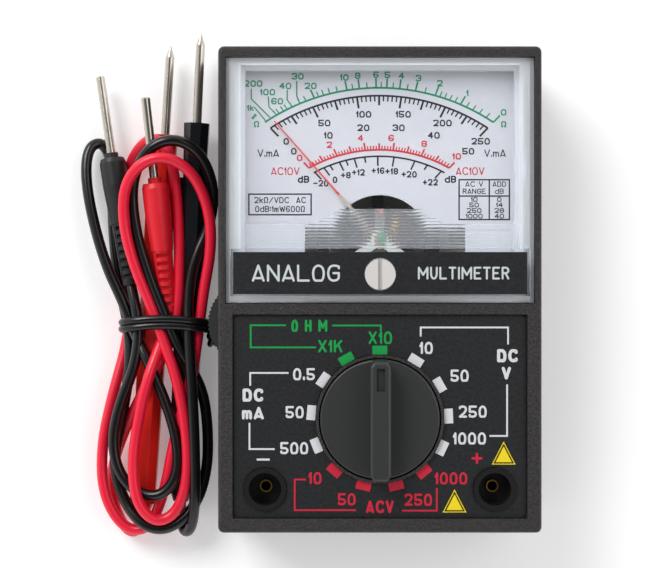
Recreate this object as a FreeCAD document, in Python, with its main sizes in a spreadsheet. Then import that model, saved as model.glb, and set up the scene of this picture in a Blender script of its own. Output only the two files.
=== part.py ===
import FreeCAD, Part
import math
import os
import re

import Sketcher
from FreeCAD import Placement, Rotation, Vector

# Pocket analog multimeter lying on its back, with its two tied test leads beside it.
# Origin: centre of the back face. X to the right, Y up the face, Z out of the face. Millimetres.

doc = FreeCAD.newDocument("multimeter")

# ---------------------------------------------------------------- driving dimensions
DIMENSIONS = [
    # case
    ("case_width", 66.5), ("case_length", 100.0), ("case_depth", 27.0), ("rear_depth", 12.0),
    ("case_wall", 2.25), ("floor_wall", 1.6), ("corner_radius", 1.2), ("edge_radius", 0.9),
    ("bar_top", -2.9), ("bar_width", 2.2), ("panel_side", 3.0), ("panel_drop", 1.0),
    ("panel_wall", 1.8), ("label_thickness", 0.2), ("label_gap", 0.2),
    # window moulding and name band
    ("window_rim", 1.45), ("window_seat", 2.4), ("window_gap", 0.15), ("window_flange", 1.4),
    ("pane_side", 2.8), ("pane_rise", 1.0), ("window_skin", 1.2), ("boss_side", 1.0),
    ("boss_top", 8.3), ("boss_bottom", -1.3), ("boss_rise", 1.6), ("band_lip", 0.6),
    ("band_thickness", 0.3),
    # range switch
    ("knob_y", -26.6), ("knob_disc_radius", 12.3), ("knob_gap", 0.3), ("ring_wall", 0.6),
    ("knob_rise", 0.2), ("grip_height", 5.8), ("grip_length", 24.2), ("grip_width", 4.25),
    ("grip_taper", 2.2), ("grip_edge", 0.7), ("grip_root", 0.15), ("notch_width", 1.7), ("notch_length", 4.6),
    ("rotor_radius", 13.0), ("rotor_height", 3.3), ("rotor_gap", 0.3), ("spindle_radius", 3.0),
    ("spindle_gap", 0.06), ("detent_ball_radius", 1.0), ("detent_ring_wall", 1.5),
    # jacks
    ("jack_x", 23.6), ("jack_y", -41.0), ("jack_collar_radius", 4.4), ("jack_well_radius", 3.35),
    ("jack_rise", 0.8), ("jack_bore", 1.0), ("jack_wall", 0.3), ("jack_top", 21.5),
    ("jack_length", 13.5),
    # ohms-adjust thumbwheel
    ("wheel_x", -27.2), ("wheel_y", -7.1), ("wheel_radius", 9.0), ("wheel_thickness", 2.0),
    ("wheel_bore", 1.5), ("wheel_gap", 0.3), ("wheel_slot", 0.95), ("pot_shift", 2.1),
    # circuit board and its parts
    ("board_z", 17.6), ("board_thickness", 1.6), ("board_top", -3.4), ("board_gap", 0.5),
    ("board_screw_x", 27.6), ("board_screw_y", -20.4), ("resistor_radius", 1.1),
    ("resistor_length", 6.0), ("diode_radius", 0.85), ("fuse_radius", 2.5), ("fuse_length", 20.0),
    ("fuse_y", -43.2), ("fuse_z", 14.2), ("lead_wire_radius", 0.3), ("hookup_radius", 0.5),
    # battery
    ("battery_radius", 7.25), ("battery_length", 50.5), ("battery_y", -28.0),
    # case and board screws
    ("case_screw_x", 28.6), ("case_screw_y", 45.0), ("boss_radius", 2.9), ("boss_web", 2.4), ("screw_radius", 1.1),
    ("screw_head_radius", 1.9), ("screw_head_height", 1.2), ("screw_gap", 0.03),
    ("movement_screw_x", 28.6), ("movement_screw_y", 5.0),
    # movement
    ("pivot_y", 10.2), ("movement_z", 12.0), ("core_radius", 7.5), ("core_half_height", 3.6),
    ("gap_radius", 10.5), ("yoke_radius", 13.0), ("yoke_bottom", 6.8), ("yoke_height", 10.0),
    ("cup_wall", 2.4), ("cup_floor", 1.4), ("cup_bottom", 4.2), ("arm_bottom", 10.4),
    ("arm_thickness", 1.6), ("arm_width", 9.0), ("former_half_width", 8.1),
    ("former_half_height", 4.1), ("former_thickness", 0.25), ("coil_depth", 3.0),
    ("winding_thickness", 1.0), ("shaft_radius", 0.3), ("dial_z", 20.6), ("dial_thickness", 0.4),
    ("dial_width", 60.2), ("dial_cut_radius", 10.4), ("dial_cut_left", -15.5),
    ("dial_cut_right", 18.0), ("dial_cut_top", 13.0), ("pointer_z", 21.6),
    ("pointer_length", 33.1), ("pointer_rest", 41.3), ("hairspring_z", 22.8),
    ("hairspring_height", 0.4), ("lever_z", 23.5), ("lever_thickness", 0.4), ("bridge_z", 24.2),
    ("bridge_thickness", 0.7), ("bridge_post_x", 9.6), ("bridge_post_drop", 6.8),
    ("jewel_radius", 0.9),
    # mechanical-zero screw
    ("zero_y", 3.1), ("zero_head_radius", 3.14), ("zero_head_gap", 0.06), ("zero_rise", 0.3),
    ("zero_flange", 0.45), ("zero_slot", 0.87), ("zero_pin_offset", 1.2), ("zero_pin_radius", 0.5),
    ("zero_pin_gap", 0.07),
    # test leads
    ("cord_diameter", 2.4), ("plug_pin_radius", 1.0), ("plug_pin_length", 18.5),
    ("plug_radius", 2.9), ("plug_length", 14.6), ("relief_length", 13.5), ("relief_end", 1.7),
    ("relief_slots", 7), ("probe_radius", 3.2), ("probe_end_radius", 2.7), ("nose_radius", 2.45),
    ("nose_tip_radius", 2.75), ("nose_length", 12.0), ("guard_radius", 3.4), ("guard_length", 1.4),
    ("probe_length", 83.0), ("needle_radius", 1.0), ("needle_length", 19.8), ("needle_point", 2.6),
    ("tie_width", 3.6), ("tie_thickness", 1.0),
]
ALIASES = {alias for alias, _ in DIMENSIONS}

sheet = doc.addObject("Spreadsheet::Sheet", "dims")
for row, (alias, number) in enumerate(DIMENSIONS, start=1):
    sheet.set("A%d" % row, alias.replace("_", " "))
    sheet.set("B%d" % row, str(number))
    sheet.setAlias("B%d" % row, alias)
doc.recompute()

# Levels and places that several pieces share, as expressions of the dimensions.
RIM = "case_depth"
PANEL = "(case_depth - panel_drop)"
CEILING = "(case_depth - panel_drop - panel_wall)"
BOARD_TOP = "(board_z + board_thickness)"
INNER_X = "(case_width/2 - case_wall)"
INNER_Y = "(case_length/2 - case_wall)"
BAR_BOTTOM = "(bar_top - bar_width)"
PANEL_X = "(case_width/2 - panel_side)"
PANEL_Y = "(-case_length/2 + panel_side)"
WINDOW_X = "(case_width/2 - window_rim)"
WINDOW_Y = "(case_length/2 - window_rim - 0.75)"
WINDOW_LEDGE = "(case_depth - window_seat)"
BOSS_Z = "(case_depth + boss_rise)"
KNOB_HOLE = "(knob_disc_radius + knob_gap)"
ROTOR_TOP = "(case_depth - panel_drop - panel_wall - rotor_gap)"
ROTOR_BOTTOM = "(case_depth - panel_drop - panel_wall - rotor_gap - rotor_height)"
WHEEL_TOP = "(board_z - 0.9 - wheel_gap)"
DIAL_TOP = "(dial_z + dial_thickness)"
COIL_TOP = "(movement_z + former_half_height + former_thickness + winding_thickness)"
COIL_BOTTOM = "(movement_z - former_half_height - former_thickness - winding_thickness)"
BATTERY_Z = "(floor_wall + 0.4 + battery_radius)"
POINTER_TURN = "pointer_rest"
DETENTS = 13

SUBPARTS = []


def refs(expression):
    """An expression with every alias written as a cell of the sheet."""
    def cell(match):
        word = match.group()
        return "dims." + word if word in ALIASES else word
    return re.sub(r"[a-z][a-z0-9_]*", cell, str(expression))


def value(expression):
    """The present number of an expression."""
    return float(sheet.evalExpression(refs(expression)))


def bind(obj, **expressions):
    for name, expression in expressions.items():
        obj.setExpression(name, refs(expression))


def place(obj, x="0", y="0", z="0", turn=None):
    """Bind an object's position, and its turn about Z, to the sheet."""
    for axis, expression in zip("xyz", (x, y, z)):
        obj.setExpression("Placement.Base." + axis, refs(expression))
    if turn is not None:
        obj.Placement.Rotation = Rotation(Vector(0, 0, 1), 1)
        obj.setExpression("Placement.Rotation.Angle", refs(turn))
    return obj


def subpart(obj, label):
    obj.Label = label
    SUBPARTS.append(obj)
    return obj


# ---------------------------------------------------------------- primitives and booleans
AXES = {"z": Rotation(), "x": Rotation(Vector(0, 1, 0), 90), "y": Rotation(Vector(1, 0, 0), -90)}


def box(size, at):
    """A block of the given size: centred on x and y, standing on z."""
    obj = doc.addObject("Part::Box", "block")
    bind(obj, Length=size[0], Width=size[1], Height=size[2])
    return place(obj, "(%s) - (%s)/2" % (at[0], size[0]), "(%s) - (%s)/2" % (at[1], size[1]), at[2])


def cylinder(radius, height, at, axis="z"):
    obj = doc.addObject("Part::Cylinder", "round")
    bind(obj, Radius=radius, Height=height)
    obj.Placement.Rotation = AXES[axis]
    return place(obj, *at)


def cone(radius1, radius2, height, at, axis="z"):
    obj = doc.addObject("Part::Cone", "taper")
    bind(obj, Radius1=radius1, Radius2=radius2, Height=height)
    obj.Placement.Rotation = AXES[axis]
    return place(obj, *at)


def ball(radius, at):
    obj = doc.addObject("Part::Sphere", "ball")
    bind(obj, Radius=radius)
    return place(obj, *at)


def fuse(*pieces):
    obj = doc.addObject("Part::MultiFuse", "joined")
    obj.Shapes = list(pieces)
    obj.Refine = True
    return obj


def cut(base, *tools):
    obj = doc.addObject("Part::Cut", "cut")
    obj.Base = base
    obj.Tool = tools[0] if len(tools) == 1 else fuse(*tools)
    return obj


def together(*pieces):
    """Separate solids that share one node."""
    obj = doc.addObject("Part::Compound", "group")
    obj.Links = list(pieces)
    return obj


def ring(outer, inner, height, at):
    return cut(cylinder(outer, height, at),
               cylinder(inner, "(%s) + 2" % height, (at[0], at[1], "(%s) - 1" % at[2])))


def mirrored_pairs(x, y):
    """The four places at plus and minus x and y."""
    return [("%s(%s)" % (sx, x), "%s(%s)" % (sy, y)) for sx in "+-" for sy in "+-"]


# ---------------------------------------------------------------- sketches and body features
def body(name):
    return doc.addObject("PartDesign::Body", name)


def sketch(owner, z, shapes):
    """A sketch parallel to the body's XY plane at height z."""
    flat = owner.newObject("Sketcher::SketchObject", "sketch")
    origin_plane = [f for f in owner.Origin.OriginFeatures if f.Role == "XY_Plane"][0]
    flat.AttachmentSupport = (origin_plane, [""])
    flat.MapMode = "FlatFace"
    flat.setExpression("AttachmentOffset.Base.z", refs(z))
    for draw in shapes:
        draw(flat)
    return flat


def hold(flat, geometry, point, x, y):
    """Fix a sketch point at x and y from the origin."""
    for kind, expression in (("DistanceX", x), ("DistanceY", y)):
        index = flat.addConstraint(
            Sketcher.Constraint(kind, -1, 1, geometry, point, value(expression)))
        flat.setExpression("Constraints[%d]" % index, refs(expression))


def polygon(*corners):
    """A closed outline through corners given as (x, y) expressions."""
    def draw(flat):
        spots = [Vector(value(x), value(y), 0) for x, y in corners]
        first = flat.GeometryCount
        count = len(spots)
        for k in range(count):
            flat.addGeometry(Part.LineSegment(spots[k], spots[(k + 1) % count]), False)
        for k in range(count):
            follower = first + (k + 1) % count
            flat.addConstraint(Sketcher.Constraint("Coincident", first + k, 2, follower, 1))
        for k, (x, y) in enumerate(corners):
            hold(flat, first + k, 1, x, y)
    return draw


def rect(x0, y0, x1, y1):
    return polygon((x0, y0), (x1, y0), (x1, y1), (x0, y1))


def circle(x, y, radius):
    def draw(flat):
        centre = Vector(value(x), value(y), 0)
        index = flat.addGeometry(Part.Circle(centre, Vector(0, 0, 1), value(radius)), False)
        hold(flat, index, 3, x, y)
        size = flat.addConstraint(Sketcher.Constraint("Radius", index, value(radius)))
        flat.setExpression("Constraints[%d]" % size, refs(radius))
    return draw


def pad(owner, z, height, *shapes):
    """Add material upward from z."""
    feature = owner.newObject("PartDesign::Pad", "pad")
    feature.Profile = sketch(owner, z, shapes)
    feature.setExpression("Length", refs(height))
    return feature


def pocket(owner, top, depth, *shapes):
    """Cut material downward from the height top, and check that it cut something."""
    doc.recompute()
    before = owner.Shape.Volume
    feature = owner.newObject("PartDesign::Pocket", "pocket")
    feature.Profile = sketch(owner, top, shapes)
    feature.setExpression("Length", refs(depth))
    doc.recompute()
    if not owner.Shape.Volume < before - 1e-6:
        raise ValueError("a pocket in %s cuts nothing" % owner.Name)
    return feature


def fillet(owner, radius, chosen):
    """Round the edges of the body's tip that the test chosen accepts."""
    doc.recompute()
    base = owner.Tip
    names = ["Edge%d" % (k + 1) for k, edge in enumerate(base.Shape.Edges) if chosen(edge)]
    feature = owner.newObject("PartDesign::Fillet", "fillet")
    feature.Base = (base, names)
    feature.setExpression("Radius", refs(radius))
    doc.recompute()
    return feature


def upright(edge):
    ends = [v.Point for v in edge.Vertexes]
    return (len(ends) == 2 and abs(ends[0].x - ends[1].x) < 1e-6
            and abs(ends[0].y - ends[1].y) < 1e-6 and edge.Curve.TypeId == "Part::GeomLine")


def level_at(z):
    def test(edge):
        bounds = edge.BoundBox
        return abs(bounds.ZMin - z) < 1e-6 and abs(bounds.ZMax - z) < 1e-6
    return test


# ---------------------------------------------------------------- case shells
def case_block(name, z, height):
    shell = body(name)
    pad(shell, z, height, rect("-case_width/2", "-case_length/2", "case_width/2", "case_length/2"))
    fillet(shell, "corner_radius", upright)
    return shell


def front_case():
    """Front shell: rim, window seat, cross bar, recessed panel, jack collars and screw bosses."""
    shell = case_block("front_case", "rear_depth", "case_depth - rear_depth")
    fillet(shell, "edge_radius", level_at(value(RIM)))
    lower_depth = CEILING + " - rear_depth"
    pocket(shell, CEILING, lower_depth,
           rect("-" + INNER_X, "-" + INNER_Y, INNER_X, INNER_Y))
    pocket(shell, RIM, "window_seat", rect("-" + WINDOW_X, "bar_top", WINDOW_X, WINDOW_Y))
    pocket(shell, WINDOW_LEDGE, "window_seat",
           rect("-" + INNER_X, "bar_top + 0.6", INNER_X, INNER_Y))
    pocket(shell, RIM, "panel_drop", rect("-" + PANEL_X, PANEL_Y, PANEL_X, BAR_BOTTOM))
    # raised ring round the knob, raised collars and tubular wells of the two jacks
    jacks = [("jack_x", "jack_y"), ("-jack_x", "jack_y")]
    pad(shell, CEILING, "panel_wall + panel_drop",
        circle("0", "knob_y", KNOB_HOLE + " + ring_wall"))
    pad(shell, BOARD_TOP + " + 0.1", PANEL + " + jack_rise - " + BOARD_TOP + " - 0.1",
        *[circle(x, y, "jack_collar_radius") for x, y in jacks])
    pocket(shell, PANEL + " + jack_rise",
           PANEL + " + jack_rise - " + BOARD_TOP + " - 1.1",
           *[circle(x, y, "jack_well_radius") for x, y in jacks])
    pocket(shell, BOARD_TOP + " + 1.5", "3",
           *[circle(x, y, "jack_bore + jack_wall + screw_gap") for x, y in jacks])
    # detent ring under the panel, notched once for each switch position
    pad(shell, ROTOR_BOTTOM, "rotor_height + rotor_gap",
        circle("0", "knob_y", "rotor_radius + rotor_gap + detent_ring_wall"))
    pocket(shell, ROTOR_TOP + " + rotor_gap", "rotor_height + rotor_gap + 1",
           circle("0", "knob_y", "rotor_radius + rotor_gap"))
    pocket(shell, RIM + " + 1", "panel_drop + panel_wall + 2", circle("0", "knob_y", KNOB_HOLE))
    notch = pocket(shell, ROTOR_TOP + " + rotor_gap", "rotor_height + rotor_gap + 1",
                   circle("rotor_radius + rotor_gap", "knob_y", "detent_ball_radius + 0.15"))
    doc.recompute()
    around = shell.newObject("PartDesign::PolarPattern", "notches")
    around.Originals = [notch]
    pivot = shell.newObject("Sketcher::SketchObject", "pivot")
    pivot.AttachmentSupport = notch.Profile[0].AttachmentSupport
    pivot.MapMode = "FlatFace"
    pivot.setExpression("AttachmentOffset.Base.y", refs("knob_y"))
    around.Axis = (pivot, ["N_Axis"])
    around.Angle = 360
    around.Occurrences = DETENTS
    shell.Tip = around
    # bosses for the case, movement and board screws
    places = mirrored_pairs("case_screw_x", "case_screw_y")
    middle = [("movement_screw_x", "movement_screw_y"), ("-movement_screw_x", "movement_screw_y")]
    board = [("board_screw_x", "board_screw_y"), ("-board_screw_x", "board_screw_y")]
    pad(shell, "rear_depth", "dial_z - rear_depth",
        *[circle(x, y, "boss_radius") for x, y in places[::2] + middle])
    # webs carry the movement bosses from the side walls
    wall_x = "(case_width/2 - case_wall/2)"
    web_y = ["movement_screw_y - boss_web/2", "movement_screw_y + boss_web/2"]
    pad(shell, "rear_depth", "dial_z - rear_depth",
        rect("movement_screw_x", web_y[0], wall_x, web_y[1]),
        rect("-" + wall_x, web_y[0], "-movement_screw_x", web_y[1]))
    pad(shell, "rear_depth", CEILING + " - rear_depth",
        *[circle(x, y, "boss_radius") for x, y in places[1::2]])
    pad(shell, BOARD_TOP, CEILING + " - " + BOARD_TOP,
        *[circle(x, y, "boss_radius - 0.6") for x, y in board])
    pocket(shell, "dial_z - 0.6", "dial_z - 0.6 - rear_depth",
           *[circle(x, y, "screw_radius + screw_gap") for x, y in places])
    pocket(shell, "dial_z", "dial_z - rear_depth",
           *[circle(x, y, "screw_radius + screw_gap") for x, y in middle])
    pocket(shell, BOARD_TOP + " + 3.6", "3.6",
           *[circle(x, y, "screw_radius + screw_gap") for x, y in board])
    # slot in the left wall that the thumbwheel's edge stands through
    pocket(shell, WHEEL_TOP + " + wheel_gap + 0.1", "wheel_thickness + 2*wheel_gap + 0.2",
           rect("-case_width/2 - 1", "wheel_y - wheel_slot*wheel_radius", "-case_width/2 + case_wall + 0.6",
                "wheel_y + wheel_slot*wheel_radius"))
    return subpart(shell, "front_case")


def rear_case():
    """Rear shell: open tray with screw counterbores and the saddle ribs of the battery."""
    shell = case_block("rear_tray", "0", "rear_depth")
    fillet(shell, "edge_radius", level_at(0))
    pocket(shell, "rear_depth", "rear_depth - floor_wall",
           rect("-" + INNER_X, "-" + INNER_Y, INNER_X, INNER_Y))
    places = mirrored_pairs("case_screw_x", "case_screw_y")
    pad(shell, "floor_wall - 0.1", "rear_depth - floor_wall + 0.1",
        *[circle(x, y, "boss_radius + 0.5") for x, y in places])
    pad(shell, "floor_wall - 0.1", BATTERY_Z + " - floor_wall - 1",
        *[rect(x + " - 0.8", "battery_y - battery_radius - 1.4",
               x + " + 0.8", "battery_y + battery_radius + 1.4")
          for x in ("-battery_length/3", "0", "battery_length/3")])
    pocket(shell, "rear_depth + 1", "rear_depth + 2",
           *[circle(x, y, "screw_radius + 0.2") for x, y in places])
    pocket(shell, "rear_depth - 4", "rear_depth - 4",
           *[circle(x, y, "screw_head_radius + 0.3") for x, y in places])
    cradle = cylinder("battery_radius + 0.05", "battery_length + 4",
                      ("-battery_length/2 - 2", "battery_y", BATTERY_Z), "x")
    return subpart(cut(shell, cradle), "rear_case")


def screw(at, length, head_up=False):
    """Pan-head screw. Its shank starts at the given point and runs up, or down with head_up."""
    x, y, z = at
    if head_up:
        shank = cylinder("screw_radius", length, (x, y, "(%s) - (%s)" % (z, length)))
        head = cylinder("screw_head_radius", "screw_head_height", (x, y, z))
        slot = box(("screw_head_radius*1.9", "0.5", "0.6"),
                   (x, y, "(%s) + screw_head_height - 0.5" % z))
    else:
        shank = cylinder("screw_radius", length, (x, y, z))
        head = cylinder("screw_head_radius", "screw_head_height",
                        (x, y, "(%s) - screw_head_height" % z))
        slot = box(("screw_head_radius*1.9", "0.5", "0.6"),
                   (x, y, "(%s) - screw_head_height - 0.1" % z))
    return cut(fuse(shank, head), slot)


def case_fasteners():
    places = mirrored_pairs("case_screw_x", "case_screw_y")
    case = [screw((x, y, "rear_depth - 4"), "10") for x, y in places]
    subpart(together(*case), "case_screws")
    pair = [("movement_screw_x", "movement_screw_y"), ("-movement_screw_x", "movement_screw_y")]
    low = [screw((x, y, "arm_bottom"), "5.5") for x, y in pair]
    subpart(together(*low), "movement_screws")
    high = [screw((x, y, DIAL_TOP), "3.6", head_up=True) for x, y in pair]
    subpart(together(*high), "dial_screws")
    board = [screw((x, "board_screw_y", "board_z"), "4.6")
             for x in ("board_screw_x", "-board_screw_x")]
    subpart(together(*board), "pcb_screws")


def range_label():
    """Printed sheet in the panel recess, cleared round the knob ring and the jack collars."""
    plate = body("range_label")
    pad(plate, PANEL, "label_thickness",
        rect("-" + PANEL_X + " + label_gap", PANEL_Y + " + label_gap",
             PANEL_X + " - label_gap", BAR_BOTTOM + " - label_gap"))
    fillet(plate, "corner_radius", upright)
    pocket(plate, PANEL + " + label_thickness", "label_thickness",
           circle("0", "knob_y", KNOB_HOLE + " + ring_wall + 0.1"),
           circle("jack_x", "jack_y", "jack_collar_radius + 0.1"),
           circle("-jack_x", "jack_y", "jack_collar_radius + 0.1"))
    return subpart(plate, "range_label")


# ---------------------------------------------------------------- window and name band
def meter_window():
    """Clear moulding: flange on the seat, raised pane, boss for the name band, sloping lower lip."""
    edge_x = "(" + WINDOW_X + " - window_gap)"
    top = WINDOW_Y + " - window_gap"
    bottom = "bar_top + window_gap"
    pane = body("window_moulding")
    pad(pane, WINDOW_LEDGE, "window_flange", rect("-" + edge_x, bottom, edge_x, top))
    pad(pane, WINDOW_LEDGE, "window_seat + pane_rise",
        rect("-" + edge_x + " + pane_side", "boss_bottom + 0.4",
             edge_x + " - pane_side", top + " - window_flange"))
    fillet(pane, "0.5", level_at(value(RIM + " + pane_rise")))
    pad(pane, WINDOW_LEDGE, "window_seat + boss_rise",
        rect("-" + edge_x + " + boss_side", "boss_bottom", edge_x + " - boss_side", "boss_top"))
    pocket(pane, BOSS_Z, "band_thickness + 0.05",
           rect("-" + edge_x + " + boss_side + band_lip", "boss_bottom + 0.3",
                edge_x + " - boss_side - band_lip", "boss_top - band_lip"))
    pocket(pane, BOSS_Z + " - window_skin - 0.6", "5",
           rect("-" + edge_x + " + pane_side + window_skin", "boss_bottom + window_skin/2",
                edge_x + " - pane_side - window_skin", "boss_top"))
    pocket(pane, RIM + " + pane_rise - window_skin", "5",
           rect("-" + edge_x + " + pane_side + window_skin", "boss_top - 0.5",
                edge_x + " - pane_side - window_skin", top + " - window_flange - window_skin"))
    pocket(pane, BOSS_Z, "8", circle("0", "zero_y", "zero_head_radius + zero_head_gap"))
    slope = doc.addObject("Part::Wedge", "slope")
    reach = "(" + edge_x + " - boss_side)"
    bind(slope, Xmin="-" + reach, X2min="-" + reach, Xmax=reach, X2max=reach,
         Ymin=bottom, Ymax="boss_bottom + 0.01", Zmin=WINDOW_LEDGE, Z2min=WINDOW_LEDGE,
         Zmax=WINDOW_LEDGE + " + window_flange + 0.3", Z2max=BOSS_Z + " - 0.1")
    return subpart(fuse(pane, slope), "meter_window")


def name_band():
    edge_x = "(" + WINDOW_X + " - window_gap - boss_side - band_lip)"
    plate = body("name_band")
    pad(plate, BOSS_Z + " - band_thickness - 0.05", "band_thickness",
        rect("-" + edge_x + " + 0.05", "boss_bottom + 0.35",
             edge_x + " - 0.05", "boss_top - band_lip - 0.05"))
    pocket(plate, BOSS_Z, "2", circle("0", "zero_y", "zero_head_radius + 0.2"))
    return subpart(plate, "name_band")


def zero_screw():
    """Slotted screw held in the window by its flange; an off-centre pin moves the zero lever."""
    under = BOSS_Z + " - window_skin - 0.6"
    head = cylinder("zero_head_radius", BOSS_Z + " + zero_rise - (" + under + " - 0.3)",
                    ("0", "zero_y", under + " - 0.3"))
    flange = cylinder("zero_head_radius + zero_flange", "0.6", ("0", "zero_y", under + " - 0.8"))
    pin_y = "zero_y - zero_pin_offset"
    pin = cylinder("zero_pin_radius", under + " - 0.6 - (lever_z - 0.5)",
                   ("0", pin_y, "lever_z - 0.5"))
    slot = box(("zero_slot", "zero_head_radius*2 + 1", "1"),
               ("0", "zero_y", BOSS_Z + " + zero_rise - 0.7"))
    return subpart(cut(fuse(head, flange, pin), slot), "zero_screw")


# ---------------------------------------------------------------- range switch
def selector_knob():
    """Knob disc with a grip bar, and below it the rotor drum and its spindle."""
    knob = body("knob_moulding")
    pad(knob, ROTOR_BOTTOM, "rotor_height", circle("0", "0", "rotor_radius"))
    pad(knob, ROTOR_TOP + " - 0.01", RIM + " + knob_rise - " + ROTOR_TOP + " + 0.01",
        circle("0", "0", "knob_disc_radius"))
    fillet(knob, "0.4", level_at(value(RIM + " + knob_rise")))
    half = "grip_length/2"
    foot = RIM + " + knob_rise - grip_root"
    pad(knob, foot, "grip_height + grip_root",
        polygon(("-grip_width/2", "-" + half + " + grip_taper/2"),
                ("-grip_width/2 + grip_edge", "-" + half),
                ("grip_width/2 - grip_edge", "-" + half),
                ("grip_width/2", "-" + half + " + grip_taper/2"),
                ("grip_width/2", half + " - grip_taper/2"),
                ("grip_width/2 - grip_edge", half),
                ("-grip_width/2 + grip_edge", half),
                ("-grip_width/2", half + " - grip_taper/2")))
    fillet(knob, "grip_edge", level_at(value(RIM + " + knob_rise + grip_height")))
    pocket(knob, RIM + " + knob_rise + grip_height", "0.8",
           rect("-notch_width/2", half + " - 1.4 - notch_length",
                "notch_width/2", half + " - 1.4"))
    pad(knob, "board_z - 0.6", ROTOR_BOTTOM + " - board_z + 0.61",
        circle("0", "0", "spindle_radius"))
    depth = "rotor_radius - 6"
    level = "(" + ROTOR_BOTTOM + " + rotor_height/2)"
    holes = [cylinder("detent_ball_radius + 0.05", depth, (start, "0", level), "x")
             for start in ("6", "-rotor_radius")]
    return subpart(place(cut(knob, *holes), y="knob_y"), "selector_knob")


def rotor_details():
    """Contact wipers under the drum, and the click balls with their springs."""
    contact = "(" + BOARD_TOP + " + 0.1)"
    arms = []
    for k in range(3):
        strip = box(("8", "1.6", "0.3"), ("7.5", "0", ROTOR_BOTTOM + " - 0.3"))
        dimple = cylinder("0.7", ROTOR_BOTTOM + " - 0.2 - " + contact,
                          ("%g" % (5.0 + 2.4 * k), "0", contact))
        arms.append(place(fuse(strip, dimple), turn="%g" % (150 + 60 * k)))
    subpart(place(together(*arms), y="knob_y"), "wiper_springs")

    level = "(" + ROTOR_BOTTOM + " + rotor_height/2)"
    reach = "(rotor_radius + rotor_gap - detent_ball_radius - 0.1)"
    balls = [ball("detent_ball_radius", (sign + reach, "0", level)) for sign in ("", "-")]
    subpart(place(together(*balls), y="knob_y"), "detent_balls")
    length = "(" + reach + " - detent_ball_radius - 6.2)"
    coils = []
    for start in ("6.1", "-6.1 - " + length):
        outer = cylinder("detent_ball_radius - 0.1", length, (start, "0", level), "x")
        inner = cylinder("detent_ball_radius - 0.4", length, (start, "0", level), "x")
        coils.append(cut(outer, inner))
    subpart(place(together(*coils), y="knob_y"), "detent_springs")


# ---------------------------------------------------------------- ohms adjustment
def thumbwheel():
    wheel = body("zero_ohm_wheel")
    pad(wheel, WHEEL_TOP + " - wheel_thickness", "wheel_thickness",
        circle("0", "0", "wheel_radius"))
    pocket(wheel, WHEEL_TOP, "wheel_thickness", circle("0", "0", "wheel_bore + 0.06"))
    groove = pocket(wheel, WHEEL_TOP, "wheel_thickness", circle("wheel_radius + 0.1", "0", "0.32"))
    doc.recompute()
    around = wheel.newObject("PartDesign::PolarPattern", "knurl")
    around.Originals = [groove]
    around.Axis = (groove.Profile[0], ["N_Axis"])
    around.Angle = 360
    around.Occurrences = 60
    wheel.Tip = around
    subpart(place(wheel, "wheel_x", "wheel_y"), "zero_ohm_wheel")
    base = box(("11", "9", "0.9"), ("0", "0", "board_z - 0.9"))
    legs = [cylinder("0.4", "1.2", ("%g" % (4.2 * k), "-3.4", "board_z - 0.4")) for k in (-1, 0, 1)]
    subpart(place(fuse(base, *legs), "wheel_x + pot_shift", "wheel_y"), "pot_base")
    foot = WHEEL_TOP + " - wheel_thickness"
    stem = cylinder("wheel_bore", "board_z - 0.9 - (" + foot + " - 0.6)",
                    ("wheel_x", "wheel_y", foot + " - 0.6"))
    head = cylinder("wheel_bore + 1", "0.6", ("wheel_x", "wheel_y", foot + " - 0.9"))
    subpart(fuse(stem, head), "pot_rivet")


# ---------------------------------------------------------------- circuit board
def circuit_board():
    board = body("pcb")
    side = "(" + INNER_X + " - board_gap)"
    low = "(-" + INNER_Y + " + board_gap)"
    corner_x = "(case_screw_x - boss_radius - 0.4)"
    corner_y = "-case_screw_y + boss_radius + 0.4"
    pad(board, "board_z", "board_thickness",
        polygon(("-" + corner_x, low), (corner_x, low), (corner_x, corner_y), (side, corner_y),
                (side, "board_top"), ("-" + side, "board_top"), ("-" + side, corner_y),
                ("-" + corner_x, corner_y)))
    pocket(board, BOARD_TOP, "board_thickness",
           circle("0", "knob_y", "spindle_radius + spindle_gap"),
           circle("jack_x", "jack_y", "jack_bore + jack_wall + screw_gap"),
           circle("-jack_x", "jack_y", "jack_bore + jack_wall + screw_gap"),
           circle("board_screw_x", "board_screw_y", "screw_radius + screw_gap"),
           circle("-board_screw_x", "board_screw_y", "screw_radius + screw_gap"),
           *[circle("wheel_x + pot_shift + %g" % (4.2 * k), "wheel_y - 3.4", "0.45") for k in (-1, 0, 1)])
    subpart(board, "pcb")


def axial_part(radius, length, x, y):
    """A cylindrical component lying along Y under the board on two bent leads."""
    z = "(board_z - 0.3 - %s)" % radius
    start = "(%s) - (%s)/2" % (y, length)
    shell = cylinder(radius, length, (x, start, z), "y")
    wire = cylinder("lead_wire_radius", "(%s) + 2.4" % length, (x, start + " - 1.2", z), "y")
    legs = [cylinder("lead_wire_radius*0.85", "0.3 + " + radius, (x, "(%s) %s ((%s)/2 + 0.8)"
                     % (y, sign, length), z)) for sign in "+-"]
    return fuse(shell, wire, *legs)


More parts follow.
